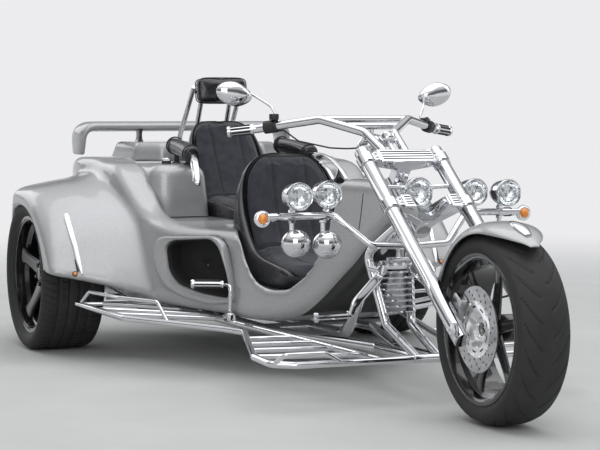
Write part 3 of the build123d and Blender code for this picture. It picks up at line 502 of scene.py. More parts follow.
def silverPaint():
    # metal flakes: each small cell has its own tone and a slightly turned face, under a clear coat
    made, tree, shader = newMaterial("silverPaint")
    where = addNode(tree, "ShaderNodeTexCoord")
    flakes = addNode(tree, "ShaderNodeTexVoronoi", Scale=700)
    tree.links.new(where.outputs["Object"], flakes.inputs["Vector"])
    tone = addNode(tree, "ShaderNodeSeparateColor")
    tree.links.new(flakes.outputs["Color"], tone.inputs[0])
    spark = ramp(tree, tone.outputs[0], 0.0, 1.0, (0.34, 0.343, 0.349), (0.475, 0.479, 0.486))
    cloud = noise(tree, 2.4, 3)
    shade = ramp(tree, cloud.outputs["Fac"], 0.3, 0.7, (0.94, 0.94, 0.94), (1.0, 1.0, 1.0))
    mixed = addNode(tree, "ShaderNodeMix", data_type="RGBA", blend_type="MULTIPLY")
    mixed.inputs[0].default_value = 1.0
    tree.links.new(spark.outputs["Color"], mixed.inputs[6])
    tree.links.new(shade.outputs["Color"], mixed.inputs[7])
    tree.links.new(mixed.outputs[2], shader.inputs["Base Color"])
    rough = ramp(tree, cloud.outputs["Fac"], 0.3, 0.75, (0.36, 0.36, 0.36), (0.44, 0.44, 0.44))
    tree.links.new(rough.outputs["Color"], shader.inputs["Roughness"])
    shader.inputs["Metallic"].default_value = 0.4
    shader.inputs["Coat Weight"].default_value = 0.75
    shader.inputs["Coat Roughness"].default_value = 0.06
    bump(tree, shader, tone.outputs[1], 0.12, 0.0003)
    return made


def clearGlass():
    made, tree, shader = newMaterial("clearGlass")
    shader.inputs["Base Color"].default_value = (0.95, 0.97, 0.98, 1)
    shader.inputs["Roughness"].default_value = 0.02
    shader.inputs["IOR"].default_value = 1.45
    shader.inputs["Transmission Weight"].default_value = 1.0
    where = addNode(tree, "ShaderNodeTexCoord")
    flutes = addNode(tree, "ShaderNodeTexWave", Scale=26, Distortion=0.2, bands_direction="Y")
    tree.links.new(where.outputs["Object"], flutes.inputs["Vector"])
    bump(tree, shader, flutes.outputs["Fac"], 0.35, 0.002)
    return made


looks["cloth"] = wovenCloth()
looks["paint"] = silverPaint()
looks["glass"] = clearGlass()
recordSlots = {"paint": "paint", "chrome": "chrome", "vinyl": "leather", "cloth": "cloth", "rubber": "tyre",
    "alloy": "alloy", "steel": "steel", "casting": "engine", "glass": "lens", "amber": "amber",
    "redLens": "red_lens", "blackPlastic": "black_plastic", "brightTrim": "chrome", "reflector": "chrome",
    "shadeAndJoints": "black_plastic", "plate": "black_plastic"}


def dress(piece, look, body="chassis", stands=()):
    # the look, the body it rides on, and the solids it stands for
    piece.data.materials.clear()
    piece.data.materials.append(looks[look])
    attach(piece, body)
    if stands:
        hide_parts(*stands)
    return piece


def build(name, surfaces, sharpAngle, look, body="chassis", stands=()):
    return dress(joined(name, surfaces, sharpAngle), look, body, stands)


print("stage: materials")

# body: lofted tub, nose and fenders, then wells, arches and pockets cut, then one soft skin

bodyShape = {
    "voxel": 0.0105,
    "smooth": 12,
    # x, sill half width, top half width, sill height, top height
    "tub": [(-0.56, 0.5, 0.47, 0.33, 0.79), (-0.43, 0.585, 0.56, 0.262, 0.803),
        (0.0, 0.6, 0.582, 0.25, 0.806), (0.23, 0.604, 0.574, 0.25, 0.77), (0.35, 0.602, 0.556, 0.25, 0.694),
        (0.45, 0.599, 0.535, 0.25, 0.624), (0.65, 0.569, 0.5, 0.246, 0.567),
        (1.0, 0.404, 0.368, 0.226, 0.548), (1.2, 0.322, 0.285, 0.218, 0.543),
        (1.3, 0.255, 0.215, 0.236, 0.548), (1.38, 0.185, 0.155, 0.28, 0.556),
        (1.45, 0.118, 0.098, 0.36, 0.566)],
    "nose": [(1.15, 0.3, 0.215, 0.208, 0.655), (1.25, 0.258, 0.19, 0.22, 0.715),
        (1.37, 0.182, 0.142, 0.268, 0.755), (1.46, 0.122, 0.1, 0.362, 0.765),
        (1.58, 0.086, 0.072, 0.46, 0.766), (1.7, 0.062, 0.052, 0.555, 0.765),
        (1.9, 0.044, 0.04, 0.65, 0.762)],
    # y, then along the outline: rear foot x, rear height, the crest's rear x, its height and its front x,
    # front x, front height, front foot x, sill height
    "fender": [(0.46, -0.52, 0.58, -0.3, 0.77, 0.1, 0.5, 0.6, 0.77, 0.262),
        (0.5, -0.52, 0.58, -0.3, 0.768, 0.1, 0.46, 0.6, 0.74, 0.264),
        (0.55, -0.52, 0.58, -0.3, 0.76, 0.1, 0.42, 0.6, 0.695, 0.27),
        (0.59, -0.52, 0.58, -0.3, 0.752, 0.1, 0.4, 0.6, 0.652, 0.278),
        (0.63, -0.515, 0.57, -0.29, 0.738, 0.1, 0.39, 0.6, 0.612, 0.288),
        (0.67, -0.51, 0.57, -0.28, 0.727, 0.11, 0.385, 0.598, 0.578, 0.3),
        (0.73, -0.5, 0.56, -0.27, 0.718, 0.12, 0.385, 0.59, 0.545, 0.314),
        (0.8, -0.48, 0.54, -0.26, 0.706, 0.13, 0.388, 0.57, 0.522, 0.33),
        (0.86, -0.465, 0.53, -0.25, 0.694, 0.135, 0.388, 0.548, 0.508, 0.342),
        (0.9, -0.45, 0.52, -0.24, 0.68, 0.135, 0.38, 0.528, 0.5, 0.35),
        (0.918, -0.44, 0.51, -0.235, 0.664, 0.13, 0.368, 0.51, 0.49, 0.356),
        (0.924, -0.432, 0.5, -0.23, 0.652, 0.125, 0.36, 0.5, 0.482, 0.36)],
    "archCentre": (0.005, 0.213),
    "archRadius": 0.405,
    "archInner": 0.53,
    "floor": 0.57,
    "floorBox": (-0.06, 0.72, 0.433),
    "coverSeat": 0.795,
    "deck": [(-0.61, -0.395), (-0.05, -0.395), (-0.05, 0.395), (-0.61, 0.395)],
    "seatHalf": 0.252,
    "bay": (-0.525, 0.47, 0.553, 0.56),
    "seatCut": [(0.7, 0.583), (0.8, 0.434), (0.975, 0.34), (1.225, 0.33), (1.32, 0.348), (1.375, 0.421),
        (1.42, 0.54), (1.468, 0.72), (1.48, 1.0), (0.7, 1.0)],
    "lapOuter": [(1.1, 1.0), (1.1, 0.6), (1.125, 0.547), (1.19, 0.49), (1.235, 0.445), (1.285, 0.405),
        (1.34, 0.378), (1.37, 0.362), (1.395, 0.368), (1.42, 0.395), (1.445, 0.44), (1.47, 0.56),
        (1.49, 0.76), (1.5, 1.0)],
    "lapInner": [(0.8, 1.0), (0.8, 0.6), (0.815, 0.52), (0.845, 0.45), (0.87, 0.405), (0.93, 0.37),
        (1.0, 0.345), (1.15, 0.331), (1.245, 0.332), (1.33, 0.362), (1.375, 0.421), (1.42, 0.54),
        (1.468, 0.72), (1.48, 1.0)],
    "lapReach": (0.24, 0.36),
    "noseCut": 0.137,
    "rake": 52.8,
    "forkTop": (1.782, 0.876),
    "flank": (0.93, -0.452),
    "flankTurn": 24.4,
    "hole": [(-0.189, 0.476), (-0.148, 0.504), (0.068, 0.519), (0.11, 0.49), (0.162, 0.375), (0.172, 0.294),
        (0.014, 0.306), (-0.116, 0.332), (-0.17, 0.378), (-0.181, 0.43)],
    "lip": [(-0.258, 0.48), (-0.219, 0.516), (0.089, 0.531), (0.13, 0.507), (0.167, 0.39), (0.192, 0.28),
        (0.068, 0.263), (-0.082, 0.281), (-0.192, 0.315), (-0.258, 0.4)],
    "holeDepth": 0.085,
    "drawIn": {"from": -0.1, "rate": 0.235},
}


def tubSurface(rows, count, roundLow, roundTop):
    # closed sections across the body: a trapezoid with soft corners at each place along it
    table = smoothRows(rows, count)
    x, sillHalf, topHalf, sill, top = table.T
    corners = np.stack([np.stack([-sillHalf, sill], 1), np.stack([sillHalf, sill], 1),
        np.stack([topHalf, top], 1), np.stack([-topHalf, top], 1)], axis=1)
    outline = softCorners(corners, np.array([roundLow, roundLow, roundTop, roundTop]), 8, 5)
    grid = np.concatenate([np.broadcast_to(x[:, None, None], outline.shape[:2] + (1,)), outline], axis=2)
    return capped(at(grid))


def fenderSurface(rows, side, count=44):
    # closed side outlines at each place across the body: foot, back, crest, front, foot
    table = smoothRows(rows, count)
    y, foot, backHigh, crestBack, crest, crestFront, front, frontHigh, frontFoot, sill = table.T
    corners = np.stack([np.stack([foot, sill], 1), np.stack([foot, backHigh], 1),
        np.stack([crestBack, crest], 1), np.stack([crestFront, crest], 1), np.stack([front, frontHigh], 1),
        np.stack([frontFoot, sill], 1)], axis=1)
    outline = softCorners(corners, np.array([0.02, 0.13, 0.16, 0.15, 0.12, 0.03]), 10, 4)
    across = np.broadcast_to((side * y)[:, None], outline.shape[:2])
    grid = np.stack([outline[..., 0], across, outline[..., 1]], axis=2)
    return capped(at(grid))


def onFlank(outline, depth, side):
    # points drawn on the sloping flank, (along, height), pushed in by depth
    turn = math.radians(bodyShape["flankTurn"])
    x0, y0 = bodyShape["flank"]
    outline = np.asarray(outline, float)
    x = x0 + outline[:, 0] * math.cos(turn) - depth * math.sin(turn)
    y = y0 + outline[:, 0] * math.sin(turn) + depth * math.cos(turn)
    points = at(np.stack([x, y, outline[:, 1]], axis=1))
    return points if side < 0 else mirrored(points)


def makeBody():
    # lofts are united, every opening is cut out of them, and one soft skin is drawn over the result
    shape = bodyShape
    body = joined("body", [tubSurface(shape["tub"], 70, 0.05, 0.05)], 0)
    parts = [joined("noseLoft", [tubSurface(shape["nose"], 40, 0.05, 0.05)], 0)]
    parts += [joined("fenderLoft", [fenderSurface(shape["fender"], side)], 0) for side in (-1, 1)]
    for part in parts:
        boolean(body, part, "UNION")
    cuts = []
    cuts.append(prism(softCorners(shape["seatCut"], 0.03, 6, 2), 1, -shape["seatHalf"], shape["seatHalf"]))
    for side in (-1, 1):
        # each side well's outline slides from the flank back to the seat
        ends = [at(np.insert(softCorners(outline, 0.03, 6, 2), 1, side * y, axis=1))
            for outline, y in zip((shape["lapInner"], shape["lapOuter"]), shape["lapReach"])]
        cuts.append(capped(ends))
    # in front of the nose a slab square to the fork's rake is taken off
    lean = math.radians(shape["rake"])
    topX, topZ = shape["forkTop"]
    ahead, down = np.array([math.cos(lean), math.sin(lean)]), np.array([math.sin(lean), -math.cos(lean)])
    face = np.array([topX, topZ]) - ahead * shape["noseCut"]
    slab = [face - down * 0.4, face + down * 0.6, face + down * 0.6 + ahead * 0.5,
        face - down * 0.4 + ahead * 0.5]
    cuts.append(prism(slab, 1, -0.4, 0.4))
    back, front, half = shape["floorBox"]
    floor = softCorners([(back, -half), (front, -half), (front, half), (back, half)], 0.04, 6, 2)
    cuts.append(prism(floor, 2, shape["floor"], 1.0))
    cuts.append(prism(shape["deck"], 2, shape["coverSeat"], 1.0))
    bayBack, bayFront, bayHalf, bayTop = shape["bay"]
    bay = [(bayBack, -bayHalf), (bayFront, -bayHalf), (bayFront, bayHalf), (bayBack, bayHalf)]
    cuts.append(prism(bay, 2, 0.1, bayTop))
    turn = np.arange(72) * 2 * np.pi / 72
    archX, archZ = shape["archCentre"]
    radius = shape["archRadius"]
    wheel = np.stack([archX + np.cos(turn) * radius, archZ + np.sin(turn) * radius], axis=1)
    for side in (-1, 1):
        cuts.append(prism(wheel, 1, side * shape["archInner"], side * 1.0))
        hole = softCorners(shape["hole"], 0.03, 5, 2)
        cuts.append(capped([onFlank(hole, depth, side) for depth in (-0.08, shape["holeDepth"])]))
    for cut in cuts:
        boolean(body, joined("cutter", [cut], 0), "DIFFERENCE")
    remeshed(body, shape["voxel"], shape["smooth"])
    # behind the axle the fenders draw in: the further back and out, the more
    points = meshPoints(body)
    drawIn = shape["drawIn"]["rate"] * np.maximum(shape["drawIn"]["from"] - (points[:, 0] - rearAxle), 0)
    points[:, 1] -= np.sign(points[:, 1]) * drawIn * np.clip((np.abs(points[:, 1]) - 0.55) / 0.3, 0, 1)
    movePoints(body, points)
    body.data.shade_smooth()
    return body


bodySkin = dress(makeBody(), "paint", stands=["body_shell"])
# a black liner closes the belly under the nose, a little inside the painted edge; its black is partly the
# dark parts inside the nose and partly painted shade of the nose's hollow
linerAndShadeRows = [(0.9, 0.33, 0.3, 0.232, 0.3), (1.15, 0.285, 0.24, 0.226, 0.296),
    (1.28, 0.228, 0.195, 0.232, 0.305), (1.36, 0.172, 0.15, 0.256, 0.34), (1.44, 0.118, 0.1, 0.3, 0.42),
    (1.54, 0.082, 0.066, 0.372, 0.5), (1.66, 0.056, 0.046, 0.47, 0.6)]
build("belly_liner_and_shade", [tubSurface(linerAndShadeRows, 40, 0.03, 0.03)], 50, "blackPlastic")
print("stage: body", len(bodySkin.data.polygons))

# wheels: tyres with pressed tread, rims, valves and the brake disc

tyreShapes = {
    # section points are (across, out from the axle), one side, from the bead to the crown
    "front": dict(section=[(0.076, 0.2362), (0.08, 0.248), (0.0915, 0.262), (0.0938, 0.279), (0.083, 0.298),
        (0.05, 0.311), (0, 0.315)], bend=0.022, around=620, columns=58, slashes=23, inner=0.236),
    "rear": dict(section=[(0.107, 0.2384), (0.113, 0.251), (0.131, 0.267), (0.1368, 0.287),
        (0.1295, 0.3085), (0.104, 0.3185), (0, 0.32)], bend=0.022, around=560, columns=64,
        ribs=(0.022, 0.066), blocks=64, inner=0.2382),
}


def makeTyre(name, kind, centre, body):
    # the outline from bead to bead is turned about the axle, and the grooves are pressed into it
    shape = tyreShapes[kind]
    half = np.array(shape["section"])
    whole = np.concatenate([half * [-1, 1], half[-2::-1]])
    whole = whole[np.concatenate([[True], np.linalg.norm(np.diff(whole, axis=0), axis=1) > 1e-6])]
    outline = curvePath(np.insert(whole, 1, 0, axis=1), shape["bend"], 0.002)[:, [0, 2]]
    length = runLengths(outline)
    even = np.linspace(0, length[-1], shape["columns"])
    across, out = np.interp(even, length, outline[:, 0]), np.interp(even, length, outline[:, 1])
    turn = (np.arange(shape["around"]) * 2 * np.pi / shape["around"])[:, None]
    wide, tall = across[None, :], np.broadcast_to(out[None, :], (shape["around"], shape["columns"]))
    radius = out.max()

    def groove(distance, width):
        return np.clip(1 - np.abs(distance) / width, 0, 1)**0.5

    depth = np.zeros_like(tall)
    if kind == "front":
        # curved slashes that sweep from near the middle to the shoulder, half a step apart side to side
        reach = np.clip((np.abs(wide) - 0.012) / 0.066, 0, 1.4)
        shift = np.where(wide > 0, 0.5, 0.0)
        phase = (turn - 0.3 * reach**1.6) * shape["slashes"] / (2 * np.pi) + shift
        off = (np.mod(phase, 1) - 0.5) * 2 * np.pi / shape["slashes"] * radius
        inBand = np.clip((np.abs(wide) - 0.012) / 0.006, 0,
            1) * np.clip((0.084 - np.abs(wide)) / 0.006, 0, 1)
        depth = depth + 0.0048 * groove(off, 0.0058) * inBand
    else:
        for rib in shape["ribs"]:
            depth = np.maximum(depth, 0.0065 * groove(np.abs(wide) - rib, 0.0062))
        blocks = shape["blocks"]
        lean = turn + 0.05 * np.sign(wide) * (np.abs(wide) - 0.08) / 0.06
        off = (np.mod(lean * blocks / (2 * np.pi), 1) - 0.5) * 2 * np.pi / blocks * radius
        onShoulder = np.clip((np.abs(wide) - 0.073) / 0.004, 0, 1) * np.clip((tall - 0.296) / 0.006, 0, 1)
        depth = np.maximum(depth, 0.005 * groove(off, 0.0042) * onShoulder)
        inner = np.clip((0.06 - np.abs(wide)) / 0.004, 0, 1) * np.clip((np.abs(wide) - 0.028) / 0.004, 0, 1)
        between = (np.mod(lean * blocks / (2 * np.pi) + 0.35, 1) - 0.5) * 2 * np.pi / blocks * radius
        depth = np.maximum(depth, 0.0035 * groove(between, 0.004) * inner)
    # two fine raised rings on each side wall
    for ring in (0.262, 0.286) if kind == "rear" else (0.252, 0.28):
        depth = depth - 0.001 * groove(tall - ring, 0.004) * (np.abs(wide) > 0.08)
    reachOut = tall - depth
    grid = np.stack([reachOut * np.cos(turn), np.broadcast_to(wide, tall.shape),
        reachOut * np.sin(turn)], axis=2)
    inside = np.stack([shape["inner"] * np.cos(turn[:, 0]), np.full(len(turn), across[-1]),
        shape["inner"] * np.sin(turn[:, 0])], axis=1)
    other = inside * [1, -1, 1]
    grid = np.concatenate([grid, inside[:, None], other[:, None]], axis=1)
    piece = joined(name, [gridSurface(at(grid + np.array(centre)), closeRows=True, closeColumns=True)], 30)
    return dress(piece, "rubber", body, stands=[name])


rimShapes = {
    "front": dict(seat=0.2358, bead=0.076, spokes=6, hub=0.046, hubHalf=0.058, width=(0.046, 0.03),
        depth=(0.026, 0.016), faceFrom=0.04, faceTo=0.05, bolts=0, centreHole=0.0126),
    "rear": dict(seat=0.238, bead=0.107, spokes=5, hub=0.064, hubHalf=0.06, width=(0.082, 0.056),
        depth=(0.04, 0.024), faceFrom=0.058, faceTo=0.09, bolts=5, centreHole=0.0202),
}


def makeRim(name, kind, centre, outward, body):
    # barrel turned about the axle, spokes lofted outwards on it, a turned hub, and on the rear its cap and
    # nuts
    shape = rimShapes[kind]
    centre = at(centre)
    axis = leftward * outward
    seat, bead = shape["seat"], shape["bead"]
    edge = bead + 0.0068
    barrel = [(-edge, seat + 0.0105), (-edge + 0.003, seat + 0.0128), (-bead - 0.0008, seat + 0.0128),
        (-bead - 0.0006, seat - 0.0004), (-bead * 0.62, seat - 0.001), (-bead * 0.5, seat - 0.02),
        (bead * 0.42, seat - 0.02), (bead * 0.55, seat - 0.001), (bead + 0.0006, seat - 0.0004),
        (bead + 0.0008, seat + 0.0128), (edge - 0.003, seat + 0.0128), (edge, seat + 0.0105),
        (edge, seat + 0.001), (edge - 0.006, seat - 0.008), (bead * 0.66, seat - 0.0095),
        (bead * 0.52, seat - 0.028), (-bead * 0.52, seat - 0.028), (-bead * 0.68, seat - 0.0095),
        (-edge + 0.006, seat - 0.008), (-edge, seat + 0.001)]
    surfaces = [lathe(barrel, centre, axis, 120, closed=True)]
    reach = np.linspace(shape["hub"] * 0.55, seat - 0.022, 16)
    share = (reach - reach[0]) / (reach[-1] - reach[0])
    face = shape["faceFrom"] + (shape["faceTo"] - shape["faceFrom"]) * share**1.6
    (widthIn, widthOut), (depthIn, depthOut) = shape["width"], shape["depth"]
    flare = 0.022 * np.clip(share - 0.8, 0, 1) / 0.2
    width = widthIn + (widthOut - widthIn) * np.sin(share * np.pi / 2) + flare
    depth = depthIn + (depthOut - depthIn) * share
    for step in range(shape["spokes"]):
        angle = 2 * np.pi * step / shape["spokes"] + (0.31 if kind == "rear" else 0.2)
        radial = wheelRay(angle)
        middle = centre + reach[:, None] * radial + (face - depth / 2)[:, None] * axis
        sideways = np.cross(radial, axis)
        surfaces.append(loftRings(middle, np.stack([width / 2, depth / 2], 1),
            side=sideways, power=4, count=28))
    hub, high = shape["hub"], shape["hubHalf"]
    bore = shape["centreHole"]
    hubShape = [(-high, bore), (-high, hub - 0.004), (-high + 0.004, hub), (high - 0.006, hub),
        (high - 0.002, hub - 0.002), (high, hub - 0.008), (high, bore)]
    surfaces.append(lathe(hubShape, centre, axis, 64, closed=True))
    piece = build(name, surfaces, 35, "alloy", body, stands=[name])
    bits = []
    if kind == "rear":
        for step in range(shape["bolts"]):
            angle = 2 * np.pi * (step + 0.5) / shape["bolts"] + 0.31
            spot = centre + 0.044 * wheelRay(angle)
            bits.append(lathe([(high - 0.002, 0), (high - 0.002, 0.0095), (high + 0.01, 0.0095),
                (high + 0.014, 0.006), (high + 0.015, 0)], spot, axis, 6))
        bits.append(lathe([(high - 0.004, 0), (high - 0.004, 0.03), (high + 0.006, 0.03),
            (high + 0.011, 0.024), (high + 0.013, 0)], centre, axis, 48))
        bits.append(lathe([(edge - 0.0005, seat - 0.002), (edge - 0.0005, seat + 0.009),
            (edge + 0.0012, seat + 0.0085), (edge + 0.0012, seat - 0.001)], centre, axis, 120, closed=True))
    else:
        for far in (-1, 1):
            bits.append(lathe([(edge - 0.0005, seat + 0.002), (edge - 0.0005, seat + 0.0085),
                (edge + 0.001, seat + 0.008), (edge + 0.001, seat + 0.003)], centre,
                axis * far, 120, closed=True))
    build(name + "_bright", bits, 35, "alloy", body)
    # a small valve stands in the barrel
    angle = 0.62
    radial = wheelRay(angle)
    foot = centre + radial * (seat - 0.012) + axis * (bead * 0.78)
    valve = joined(name + "_valve", [tube([foot, foot - radial * 0.012 + axis * 0.012,
        foot - radial * 0.02 + axis * 0.03], 0.0032, 0.006, 12, rounded=0.002)])
    dress(valve, "rubber", body)
    return piece


frontAxle, rearAxleHeight, trackHalf = (2.556, 0, 0.315), 0.32, 0.77
makeTyre("front_tyre", "front", frontAxle, "front_wheel")
makeRim("front_rim", "front", frontAxle, -1, "front_wheel")
for sideName, side in (("right", -1), ("left", 1)):
    makeTyre("rear_tyre_" + sideName, "rear", (0, side * trackHalf,
        rearAxleHeight), "rear_wheel_" + sideName)
    makeRim("rear_rim_" + sideName, "rear", (0, side * trackHalf, rearAxleHeight),
        side, "rear_wheel_" + sideName)

discShape = {"radius": 0.1408, "inner": 0.088, "place": 0.088, "thick": 0.0048, "holes": 30,
    "rows": (0.098, 0.112, 0.127)}


def makeDisc():
    # a flat ring with three rows of drilled holes, on a dished carrier with slots and bolts
    shape = discShape
    centre = at(frontAxle) - leftward * shape["place"]
    axis = np.array([0, -1.0, 0])
    thick = shape["thick"] / 2
    ring = joined("brake_disc", [lathe([(-thick, shape["inner"]), (-thick, shape["radius"] - 0.0008),
        (-thick + 0.0008, shape["radius"]), (thick - 0.0008, shape["radius"]),
        (thick, shape["radius"] - 0.0008), (thick, shape["inner"])], centre, axis, 160, closed=True)], 30)
    drills = []
    for row, radius in enumerate(shape["rows"]):
        for step in range(shape["holes"] // 2):
            angle = 2 * np.pi * (step + row / 3) / (shape["holes"] // 2)
            spot = centre + radius * wheelRay(angle)
            drills.append(lathe(sleeve(-0.01, 0.01, 0, 0.0042), spot, axis, 10))
    boolean(ring, joined("drills", drills, 0), "DIFFERENCE")
    ring.data.set_sharp_from_angle(angle=math.radians(30))
    dress(ring, "steel", "front_wheel", stands=["brake_disc"])
    carrier = [lathe([(-0.03, 0.022), (-0.03, 0.043), (-0.0025, 0.06), (-0.0025, 0.0915), (0.0026, 0.0915),
        (0.0026, 0.06), (-0.018, 0.04), (-0.018, 0.022)], centre, axis, 96, closed=True)]
    for step in range(5):
        angle = 2 * np.pi * step / 5 + 0.3
        spot = centre + 0.0315 * wheelRay(angle)
        carrier.append(lathe([(-0.0182, 0), (-0.0182, 0.0058), (-0.0135, 0.0058), (-0.0115, 0.004),
            (-0.0112, 0)], spot, axis, 20))
    for step in range(9):
        angle = 2 * np.pi * step / 9
        spot = centre + 0.0885 * wheelRay(angle)
        carrier.append(lathe([(0.0024, 0), (0.0024, 0.0052), (0.005, 0.0052), (0.0058, 0.0038),
            (0.0058, 0)], spot, axis, 18))
    build("disc_carrier", carrier, 30, "brightTrim", "front_wheel")
    # the carrier's slots are near-black strips laid on its face: painted shade where slots would be cut
    slots = []
    for step in range(9):
        start = 2 * np.pi * (step + 0.24) / 9
        sweepAngle = start + np.linspace(0, 2 * np.pi * 0.52 / 9, 12)
        path = centre + np.stack([0.0735 * np.cos(sweepAngle), np.full(12, -0.0018),
            0.0735 * np.sin(sweepAngle)], axis=1)
        slots.append(loftRings(path, (0.0045, 0.001), up=(0, 1, 0), power=2.5, count=12, ends=0.003))
    build("carrier_slots", slots, 40, "shadeAndJoints", "front_wheel")


makeDisc()
print("stage: wheels")

# front fender, fork ends and clamps

rake = math.radians(52.8)
downFork = np.array([math.sin(rake), 0, -math.cos(rake)])
aheadFork = np.array([math.cos(rake), 0, math.sin(rake)])


def onFork(down, ahead=0.0, y=0.0):
    return at(np.array([1.782, 0, 0.876]) + downFork * down + aheadFork * ahead + [0, y, 0])


frontFender = {"centre": (2.572, 0.327), "crown": 0.3372, "from": 52.5, "to": 159.0,
    "half": 0.1105, "sheet": 0.0035}


def makeFrontFender():
    # half-elliptic sections turned about the wheel: the skirt is deep behind and runs out to a point in front
    shape = frontFender
    angle = np.radians(np.linspace(shape["from"], shape["to"], 90))[:, None]
    share = (angle - angle[0]) / (angle[-1] - angle[0])
    # half width and skirt depth along the sweep
    half = shape["half"] * np.interp(share, [0, 0.05, 0.13, 0.25, 0.4, 0.9, 1.0],
        [0.06, 0.36, 0.68, 0.93, 1.0, 1.0, 0.96])
    droop = np.interp(share, [0, 0.08, 0.2, 0.45, 0.75, 0.93, 1.0],
        [0.002, 0.014, 0.03, 0.045, 0.06, 0.066, 0.05])
    smooth = np.ones(9) / 9
    half[:, 0] = np.convolve(np.pad(half[:, 0], 4, mode="edge"), smooth, "valid")
    droop[:, 0] = np.convolve(np.pad(droop[:, 0], 4, mode="edge"), smooth, "valid")
    turn = np.radians(np.linspace(-86, 86, 49))[None, :]
    y = half * np.sign(turn) * np.abs(np.sin(turn) / math.sin(math.radians(86)))**0.92
    out = shape["crown"] - droop * (1 - np.cos(turn)**0.9) / (1 - math.cos(math.radians(86))**0.9)
    x0, z0 = shape["centre"]
    grid = np.stack([x0 + out * np.cos(angle), y, z0 + out * np.sin(angle)], axis=2)
    inner = grid - np.stack([np.cos(angle) * np.cos(turn), np.sin(turn) * np.ones_like(angle),
        np.sin(angle) * np.cos(turn)], axis=2) * shape["sheet"]
    loop = np.concatenate([grid, inner[:, ::-1]], axis=1)
    piece = joined("front_fender", [gridSurface(at(loop), closeColumns=True)], 50)
    work = bmesh.new()
    work.from_mesh(piece.data)
    bmesh.ops.holes_fill(work, edges=[e for e in work.edges if e.is_boundary], sides=0)
    bmesh.ops.triangulate(work, faces=[f for f in work.faces if len(f.verts) > 4])
    bmesh.ops.recalc_face_normals(work, faces=work.faces)
    work.to_mesh(piece.data)
    work.free()
    dress(piece, "paint", "steering", stands=["front_fender"])
    # a chrome tab from each leg and a small chrome drop on the tip
    bits = []
    for sign in (-1, 1):
        bits.append(loftRings([onFork(0.604, 0.0, sign * 0.118), onFork(0.632, 0.0, sign * 0.118),
            onFork(0.66, 0.0, sign * 0.118)], (0.011, 0.0035), up=(0, 1, 0),
            power=5, count=20, ends=0.0015))
        bits.append(lathe([(0, 0), (0, 0.0065), (0.004, 0.0065), (0.006, 0.004), (0.0062, 0)],
            onFork(0.632, 0, sign * 0.112), (0, -sign, 0), 6))
    build("fender_tabs", bits, 35, "chrome", "steering")
    angle = np.radians(np.linspace(62, 84, 16))
    spine = at(np.stack([x0 + (shape["crown"] + 0.002) * np.cos(angle), 0 * angle,
        z0 + (shape["crown"] + 0.002) * np.sin(angle)], axis=1))
    swell = np.sin(np.linspace(0.12, 1, 16) * np.pi)**0.8
    drop = loftRings(spine, np.stack([0.003 + 0.021 * swell, 0.002 + 0.008 * swell], 1),
        side=(0, 1, 0), power=2, count=28)
    build("fender_drop", [drop], 60, "chrome", "steering")


makeFrontFender()

clampShapes = {
    # start and depth along the fork, half of the web's outline as (ahead, out), spans of its face plates
    "top": dict(start=0.042, depth=0.046, web=[(-0.112, 0.026), (-0.024, 0.026), (-0.004, 0.124),
        (0.03, 0.124)], faces=[(-0.108, 0.108)]),
    "lower": dict(start=0.292, depth=0.044, web=[(-0.112, 0.026), (-0.074, 0.03), (-0.006, 0.124),
        (0.03, 0.124), (0.03, 0.066), (-0.036, 0.04), (-0.05, 0.026)],
        faces=[(-0.11, -0.07), (0.07, 0.11)]),
}


def makeClamp(name, key, node):
    # sockets round both legs, a boss round the stem, and a bevelled web that joins them
    start, depth = clampShapes[key]["start"], clampShapes[key]["depth"]
    surfaces = []
    for sign in (-1, 1):
        profile = [(0, 0.0272), (0, 0.0308), (0.0016, 0.0322), (depth - 0.0016, 0.0322),
            (depth, 0.0308), (depth, 0.0272)]
        surfaces.append(lathe(profile, onFork(start, 0, sign * 0.145), downFork, 56, closed=True))
    surfaces.append(lathe([(0, 0.0002), (0, 0.028), (0.002, 0.03), (depth - 0.002, 0.03), (depth, 0.028),
        (depth, 0.0002)], onFork(start, -0.1, 0), downFork, 48))
    web = np.array(clampShapes[key]["web"])
    web = np.concatenate([web, web[::-1] * [1, -1]])
    rings = []
    for down, inset in ((0.0, 0.003), (0.0015, 0.0008), (0.003, 0.0), (depth - 0.003, 0.0),
            (depth - 0.0015, 0.0008), (depth, 0.003)):
        outline = softCorners(web * (1 - inset / 0.06), 0.008, 6, 3)
        rings.append(onFork(start + down) + outline[:, :1] * aheadFork + outline[:, 1:] * leftward)
    surfaces.append(capped(rings))
    piece = joined(name, surfaces, 32)
    dress(piece, "chrome", "steering", stands=[node])
    # plates on the web's front carry four dark slots each, painted shade laid on for slots that are not cut;
    # small bolts hold the sockets
    slots, bolts, plates = [], [], []
    low, high = start - 0.004, start + depth + 0.016
    for span in clampShapes[key]["faces"]:
        plate = np.array([(low, span[0]), (high, span[0]), (high, span[1]), (low, span[1])])
        middle = plate.mean(axis=0)
        rings = []
        for ahead, inset in ((0.026, 0.0006), (0.0262, 0.0), (0.033, 0.0),
                (0.0345, 0.0008), (0.035, 0.0022)):
            flat = softCorners(middle + (plate - middle) * (1 - inset / 0.03), 0.004, 5, 6)
            rings.append(onFork(0) + flat[:, :1] * downFork + flat[:, 1:] * leftward + ahead * aheadFork)
        plates.append(capped(rings))
        for row in range(4):
            down = low + (high - low) * (0.2 + 0.2 * row)
            across = np.linspace(span[0] + 0.008, span[1] - 0.008, 5)
            slots.append(loftRings([onFork(down, 0.035, y) for y in across], (0.0028, 0.001), side=downFork,
                power=3, count=14, ends=0.002))
    build(name + "_faces", plates, 35, "chrome", "steering")
    for sign in (-1, 1):
        for down in (0.28, 0.72):
            spot = onFork(start + depth * down, 0.0285, sign * 0.1165)
            bolts.append(lathe([(0, 0), (0, 0.0045), (0.004, 0.0055), (0.0055, 0.0042),
                (0.0055, 0)], spot, aheadFork, 20))
    build(name + "_slots", slots, 40, "shadeAndJoints", "steering")
    build(name + "_bolts", bolts, 35, "steel", "steering")


